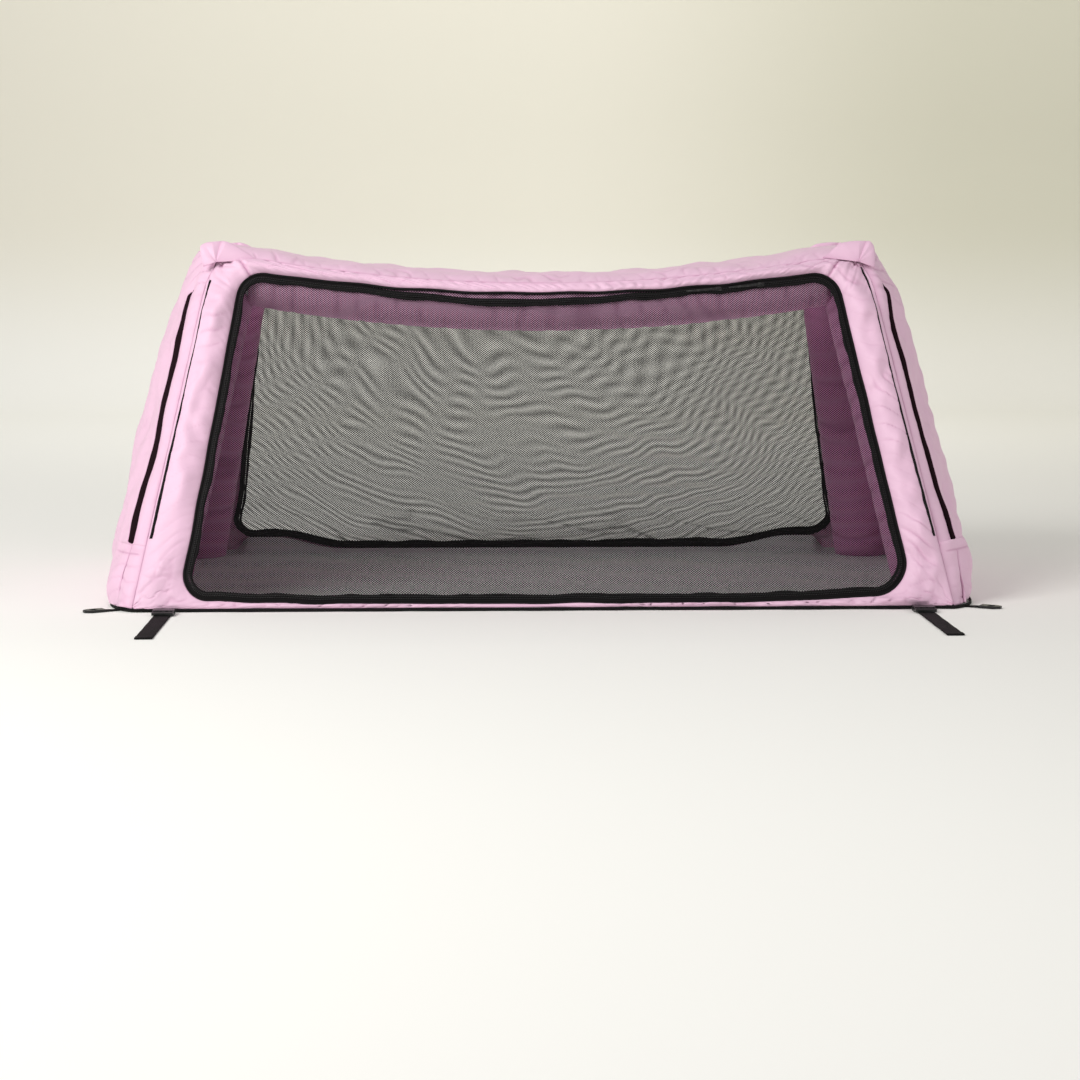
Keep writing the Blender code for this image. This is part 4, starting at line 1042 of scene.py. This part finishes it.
def top_sliver(face_name, face):
    """The sliver of mesh between the binding cord and the hanging tape."""
    edge = zip_edge(face_name)
    pick = (edge[:, 1] > 0.5) & (np.abs(edge[:, 0] + 0.06) < 0.42)
    upper, lower = inset(edge, 0.004)[pick], inset(edge, 0.0065 + droop(edge[:, 0]))[pick]
    flat = upper[:, None, :] + (lower - upper)[:, None, :] * np.linspace(0.0, 1.0, 4)[None, :, None]
    lengths = columns(flat[..., 0], flat[..., 1] / math.cos(LEAN))
    points = on_wall(flat, 0.0002, face)
    piece = grid_mesh(face_name + "_top_sliver", points, lengths, [front_mesh], turn=face > 0)
    return dress(piece, "cabin", "black_mesh")


slivers = [top_sliver(name, face) for name, face in FACES.items()]

# %% [markdown]
# ## Air tubes
# An arch at each end and a beam under each roof edge hold the cabin up. Each is a film
# tube in a nylon sleeve. The sleeves show inside, through the mesh: round, with a seam
# along them and small rings of creases where they bend.


# %% Sleeves
POST, BEAM = 0.068, 0.055
BEND, BEND_DROP = 0.1, 0.088


def post_centre(z, side):
    """The middle of a corner tube at a height."""
    return np.array([side * (seam_half(z) - 0.042), front_y(z) + (POST + 0.007) / math.cos(LEAN), z])


def arch_path(side):
    """Up the front corner, round an arc, over the top, and mirrored down the back."""
    low, top = post_centre(0.0046, side), post_centre(CORNER - BEND_DROP, side)
    rise, level = unit(top - low), np.array([0.0, 1.0, 0.0])
    turn = math.acos(rise @ level)
    toward = unit(level - (level @ rise) * rise)
    centre = top - rise * BEND * math.tan(turn / 2) + toward * BEND
    angle = np.linspace(0.0, turn, 16)[:, None]
    bend = centre - BEND * (np.cos(angle) * toward - np.sin(angle) * rise)
    straight = low + (bend[0] - low) * np.linspace(0.0, 1.0, 61)[:-1, None]
    half, mirror = np.concatenate([straight, bend]), np.array([1.0, -1.0, 1.0])
    middle = bend[-1] + (bend[-1] * mirror - bend[-1]) * np.linspace(0.0, 1.0, 14)[1:-1, None]
    return np.concatenate([half, middle, half[::-1] * mirror])


def sleeve(name, path, radius, node, seed, finish):
    """The tube's radius with 3 mm added, less up to 2 mm of creases that ring it and a sewn seam."""
    rings = swept(path, radius, 72)
    u, v = np.moveaxis(measured(rings), -1, 0)
    turn = np.where(v > v.max() - 1e-9, 0.0, v) / radius
    ring_folds = creases(u, 0.02 * np.sin(turn), 0.09, seed, 0.3, lean=0.0, spread=0.6)
    seam = bell(np.cos(turn) - 1.0, 0.004)
    shrink = -0.0030 + 0.0022 * ring_folds + 0.0012 * seam
    centre = path[:, None, :]
    rings = centre + (rings - centre) * (1.0 - shrink / radius)[..., None]
    rings[:, -1] = rings[:, 0]
    rings[..., 2] = np.maximum(rings[..., 2], 0.0036)
    # the fold attribute paints shade in the ring creases and along the seam
    return tube_mesh(name, rings, finish, "cabin", "pink_nylon", node,
                     shade=np.clip(0.5 * ring_folds + 0.6 * seam, 0.0, 1.0))


for name, side in SIDES.items():
    sleeve(name + "_arch_cover", arch_path(side), POST, name + "_arch_sleeve", 130 + side, pink_painted_inner_shade)
beam_end = abs(post_centre(CORNER - BEND_DROP, 1)[0]) - POST + 0.006
for name, face in FACES.items():
    x = np.linspace(-beam_end, beam_end, 120)
    z = roof_line(x) - 0.0025 - BEAM - 0.020
    y = front_y(z) + (BEAM + 0.007) / math.cos(LEAN)
    path = columns(x, face * y, z)
    sleeve(name + "_beam_cover", path, BEAM, name + "_beam_sleeve", 140 + face, pink_painted_light)

# %% [markdown]
# ## Floor and hem
# The floor is one sheet of grey cloth that lies on whatever is under it. Its edge and the
# walls' lower edges are caught together in a folded black binding, which is stiff enough
# to wander a few millimetres but not to hang.

# %% Grey floor cloth
BASE_Z = 0.007
grey, tree, shader = start("grey_floor_cloth", Roughness=0.85, Sheen_Weight=0.1)
thread = bands(tree, cut_of(tree), 330.0)
tree.links.new(blended(tree, thread, "#c2d0c8", "#d2ddd6"), shader.inputs["Base Color"])


def base_loop(grow, count):
    """The base's outline moved out by grow: straight front and back, and the ends' curve."""
    t = np.linspace(-1.0, 1.0, count)
    end = end_point(np.sign(t) * np.abs(t) ** 0.35, BASE_Z)[:, :2]
    half = seam_half(BASE_Z)
    front = columns(np.linspace(-half, half, 4 * count)[1:-1], front_y(BASE_Z))
    return inset(np.concatenate([front, end, -front, -end]), -grow)


rim = base_loop(-0.0035, 60)
share = np.linspace(0.0, 1.0, 60)[None, ::-1] ** 0.8
plan = rim[:, None, :] * share[..., None]
x, y = plan[..., 0], plan[..., 1]
height = 0.0010 + 0.0010 * waves(x, y, 0.26, 150) + 0.0022 * creases(x, y, 0.60, 151, 0.40)
height = 0.0022 + (1.0 - share ** 12) * height
points = columns(x, y, np.maximum(height, 0.0012))
floor = welded(grid_mesh("floor_cloth", points, np.concatenate([plan, plan[:1]]), [grey], ring=True))
if sum(face.normal.z for face in floor.data.polygons) < 0:
    floor.data.flip_normals()
dress(floor, "cabin", "pink_nylon", "floor_panel")


def back_upstand():
    """The floor turned up the back wall: a quarter of an oval from the floor to the zip at each x."""
    x = np.linspace(-0.845, 0.845, 270)[:, None]
    top = 0.0120 + window_lift("back", x, 0.0) * (1.0 - smooth(np.abs(x), 0.765, 0.805))
    angle = np.linspace(0.0, math.pi / 2, 18)[None, :]
    z = 0.0008 + (top - 0.0008) * (1.0 - np.cos(angle))
    y = -front_y(top) - 0.008 - 0.075 * (1.0 - np.sin(angle))
    y = y + 0.0012 * waves(x, z, 0.12, 170) * np.sin(angle)
    points = columns(x, y, z)
    piece = grid_mesh("floor_back_upstand", points, measured(points), [grey], thick=0.0008)
    return dress(piece, "cabin", "pink_nylon")


upstand = back_upstand()

# %% [markdown]
# ## Hem
# The binding is a squared oval, 5.4 by 7.4 mm, carried round the base.

# %% Hem binding
loop = base_loop(0.0, 90)
away = base_loop(1.0, 90) - loop
wander = 0.0012 * waves(loop[:, 0], loop[:, 1], 0.17, 160)
rise = 0.0010 * np.clip(waves(loop[:, 0], loop[:, 1], 0.13, 161), 0.0, 2.0)
turn = np.linspace(0.0, 2 * math.pi, 13)
circle = columns(np.cos(turn), np.sin(turn))
oval = np.sign(circle) * np.abs(circle) ** 0.6 * np.array([0.0027, 0.0037])
plan = loop[:, None, :] + away[:, None, :] * (wander[:, None] + oval[None, :, 0])[..., None]
rings = columns(plan[..., 0], plan[..., 1], 0.0039 + rise[:, None] + oval[None, :, 1])
hem = grid_mesh("hem_binding", rings, measured(rings, True), [webbing], ring=True)
dress(welded(hem), "cabin", "black_webbing", "base_binding")

# %% [markdown]
# ## Webbing
# Straps and tabs are flat woven webbing 2 mm thick. A strap is a line in height and
# distance with the webbing's width across it; its edges are a little thinner than its
# middle, and its far end is folded back and sewn.


# %% Straps and tabs
UP = np.array([0.0, 0.0, 1.0])
HEM_Y = -front_y(BASE_Z) + 0.0029
STRAP_PLACE, STRAP_WIDE, STRAP_LONG = 0.86, 0.038, 0.34
TAB_LONG, SOCKET_LONG, PLUG_NECK, GAP = 0.016, 0.034, 0.006, 0.0009


def web(name, path, width, middle, out, body, node):
    """The oval section of a webbing, 1.9 mm thick, carried along a line of distance and height."""
    path = np.array(path, dtype=float)
    length = run_of(path)[-1]
    line = relaxed(at_lengths(path, np.linspace(0.0, length, max(12, int(length / 0.004)))))
    along = unit(np.gradient(line, axis=0))
    lift = columns(-along[:, 1], along[:, 0])
    ahead, across = np.array([out[0], out[1], 0.0]), np.array([-out[1], out[0], 0.0])
    s = np.linspace(-1.0, 1.0, 9)
    upper = columns(s, 0.00095 * (1.0 - 0.45 * np.abs(s) ** 6))
    section = np.concatenate([upper, upper[::-1] * (1.0, -1.0), upper[:1]])
    rings = (np.array(middle) + line[:, None, :1] * ahead + line[:, None, 1:] * UP
             + section[None, :, :1] * (width / 2) * across
             + section[None, :, 1:] * (lift[:, None, :1] * ahead + lift[:, None, 1:] * UP))
    return tube_mesh(name, rings, webbing, body, "black_webbing", node)


for face_name, face in FACES.items():
    for side_name, side in SIDES.items():
        name = f"{face_name}_{side_name}"
        middle, out = (side * STRAP_PLACE, 0.0, 0.0), (0.0, -face)
        stop = HEM_Y + TAB_LONG
        path = [(HEM_Y, 0.0011), (HEM_Y + 0.004, 0.0012), (stop - 0.004, 0.0058), (stop, 0.006)]
        tab = web(name + "_tab_web", path, STRAP_WIDE, middle, out, "cabin", name + "_hem_tab")

        # from the plug's slot down to the floor, along it in slight waves, and folded back
        slot = stop + SOCKET_LONG + PLUG_NECK + GAP
        begin = slot + 0.006
        end = begin + STRAP_LONG
        path = [(slot + 0.0014, 0.0080), (slot + 0.0018, 0.0045), (begin - 0.001, 0.0011)]
        path += [(begin + k, 0.0011 + 0.0009 * math.sin(k * 31.0) ** 2) for k in np.linspace(0.02, 0.33, 12)]
        path += [(end, 0.0011)]
        tie, strap_node = name + "_tie", name + "_strap"
        strap = web(name + "_strap_web", path, STRAP_WIDE, middle, out, tie, strap_node)
        path = [(end - back, 0.0031) for back in (0.028, 0.026, 0.001)]
        fold = web(name + "_strap_fold", path, 0.0375, middle, out, tie, strap_node)

        # the corner's tab stands square to the end wall's curve
        near = end_point(np.array([-0.94, -0.93, -0.92]), BASE_Z)
        heading = near[2] - near[0]
        out = np.array([side * heading[1], -face * heading[0]]) / math.hypot(heading[0], heading[1])
        middle = (near[1][0] * side, near[1][1] * face, 0.0)
        path = [(0.0029, 0.0011), (0.009, 0.0012), (0.0269, 0.0024), (0.0329, 0.0025)]
        corner = web(name + "_corner_web", path, 0.025, middle, out, name + "_corner", name + "_corner_tab")

# %% [markdown]
# ## Buckles, sliders and caps
# These are moulded or cast, so every edge has a small radius that draws a thin highlight.
# Each is a copy of its solid, welded and flattened, with a bevel along its sharp edges.


# %% Moulded parts
def softened(node, finish, radius, body):
    """A copy of a solid with its doubles merged and its sharp edges rounded."""
    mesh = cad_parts[node].data.copy()
    merged(mesh, flattened)
    mesh.materials.clear()
    mesh.materials.append(finish)
    mesh.shade_smooth()
    made = placed(node + "_finished", mesh)
    edge = made.modifiers.new("edge", "BEVEL")
    edge.width = radius
    edge.segments = 2
    edge.limit_method = "ANGLE"
    edge.angle_limit = math.radians(35)
    edge.harden_normals = True
    return dress(made, body, "black_acetal", node)


for face_name in FACES:
    for side_name in SIDES:
        name = f"{face_name}_{side_name}"
        softened(name + "_buckle_socket", acetal, 0.0007, "cabin")
        softened(name + "_buckle_plug", acetal, 0.0006, name + "_tie")
        softened(name + "_corner_buckle", acetal, 0.0009, name + "_corner")
    for k in (1, 2):
        for node in (f"{face_name}_slider_{k}", f"{face_name}_pull_{k}"):
            softened(node, zinc, 0.0003, node)
for side_name in SIDES:
    softened(side_name + "_valve_cap", acetal, 0.0004, side_name + "_cap")
for name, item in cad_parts.items():
    if "bladder" in name:
        item.data.materials.clear()
        item.data.materials.append(film)

# %% [markdown]
# ## How much cloth
# Each sheet's area is printed in square metres.


# %% Sheets
def area_of(piece):
    """The area of a piece's faces in square metres."""
    spread = np.zeros(len(piece.data.polygons))
    piece.data.polygons.foreach_get("area", spread)
    return float(spread.sum())


for piece in (*walls.values(), *doors.values(), roof, *ends.values(), floor, *tufts, *slivers):
    print(piece.name, "has", round(area_of(piece), 4), "square metres of cloth")

# %% [markdown]
# ## Studio
# A pale floor runs up into a warm wall behind, both darker to the right: painted shade, away
# from the light on the left. One large soft light stands high on the left and a weaker one on
# the right, as in a photographer's studio. A small one warms the right end, one lights the
# wall behind, and a faint glow inside stands for the light that bounces between the pink walls.

# %% Backdrop
backdrop, tree, shader = start("painted_backdrop", Roughness=0.95, Specular_IOR_Level=0.0)
place = add(tree, "SeparateXYZ", {"Vector": add(tree, "TexCoord").outputs["Object"]}).outputs
up = add(tree, "MapRange", {"Value": place["Z"], "From Max": 1.1}, interpolation_type="SMOOTHSTEP")
# across darkens floor and wall to the right: painted shade, away from the key light
across = add(tree, "MapRange", {"Value": place["X"], "From Min": 0.2, "From Max": 2.9},
             interpolation_type="SMOOTHSTEP").outputs["Result"]
wall = add(tree, "Mix", data_type="RGBA")
tree.links.new(up.outputs["Result"], wall.inputs["Factor"])
tree.links.new(blended(tree, across, "#fafaf7", "#e9e8e2"), wall.inputs["A"])
tree.links.new(blended(tree, across, "#e9e6da", "#d2d0c0"), wall.inputs["B"])
tree.links.new(wall.outputs["Result"], shader.inputs["Base Color"])
REACH, TURN = 6.8, 1.6
profile = [(-9.0, 0.0), (REACH, 0.0)]
profile += [(REACH + TURN * math.sin(a), TURN - TURN * math.cos(a))
            for a in np.linspace(0.1, math.pi / 2, 14)]
profile = np.array(profile + [(REACH + TURN, 9.0)])
points = columns(np.array([-14.0, 14.0]), profile[:, :1], profile[:, 1:] - 0.0005)
grid_mesh("studio_backdrop", points, points[..., :2], [backdrop], turn=True)

# %% Lights
world = bpy.data.worlds.new("studio_air")
world.use_nodes = True
air = world.node_tree.nodes["Background"].inputs
air["Color"].default_value = colour("#f7f6f4")
air["Strength"].default_value = 0.50
bpy.context.scene.world = world


def softbox(name, place, aim, size, power, tint):
    """A square area light that looks from one place to another."""
    light = bpy.data.lights.new(name, "AREA")
    light.shape = "RECTANGLE"
    light.size, light.size_y = size
    light.energy = power
    light.color = colour(tint)[:3]
    holder = placed(name, light)
    heading = unit(np.array(aim, float) - np.array(place, float))
    holder.location = place
    holder.rotation_euler = (math.acos(-heading[2]), 0.0, math.pi + math.atan2(heading[0], -heading[1]))
    holder.visible_camera = False
    return light


softbox("key_left", (-3.6, -3.8, 3.6), (0.0, 0.0, 0.4), (3.0, 2.4), 225.0, "#fffdfa")
softbox("fill_right", (4.2, -3.2, 2.4), (0.0, 0.0, 0.4), (2.4, 2.4), 20.0, "#fffcf8")
glow = softbox("glow_inside", (0.0, 0.0, 0.45), (0.0, 0.001, 0.8), (1.25, 0.25), 1.2, "#ffe6f4")
glow.spread = math.radians(120)
softbox("side_right", (4.6, 0.6, 1.5), (1.0, 0.0, 0.3), (1.6, 1.6), 9.0, "#fff2f8")
softbox("top_wash", (1.4, 4.6, 5.4), (1.4, 8.0, 1.2), (9.0, 2.0), 170.0, "#fffdf8")

# The photograph keeps its colours clear and its blacks deep, as a plain sRGB view does.
bpy.context.scene.view_settings.view_transform = "Standard"

# %% [markdown]
# ## Camera
# The photograph's vanishing lines give a lens of about 82 mm, 6.1 m in front of the
# cabin and 0.79 m above what it stands on, looking 6.4 degrees down.

# %% Camera
lens = bpy.data.cameras.new("camera")
FOCAL_PIXELS, FRAME_PIXELS = 2463.0, 1080.0
lens.sensor_width = 36.0
lens.sensor_fit = "HORIZONTAL"
lens.lens = FOCAL_PIXELS * lens.sensor_width / FRAME_PIXELS
lens.clip_end = 60.0
camera = placed("camera", lens)
camera.location = (-0.19, -6.12, 0.787)
camera.rotation_euler = (math.radians(90.0 - 6.42), 0.0, math.radians(-1.84))
bpy.context.scene.camera = camera
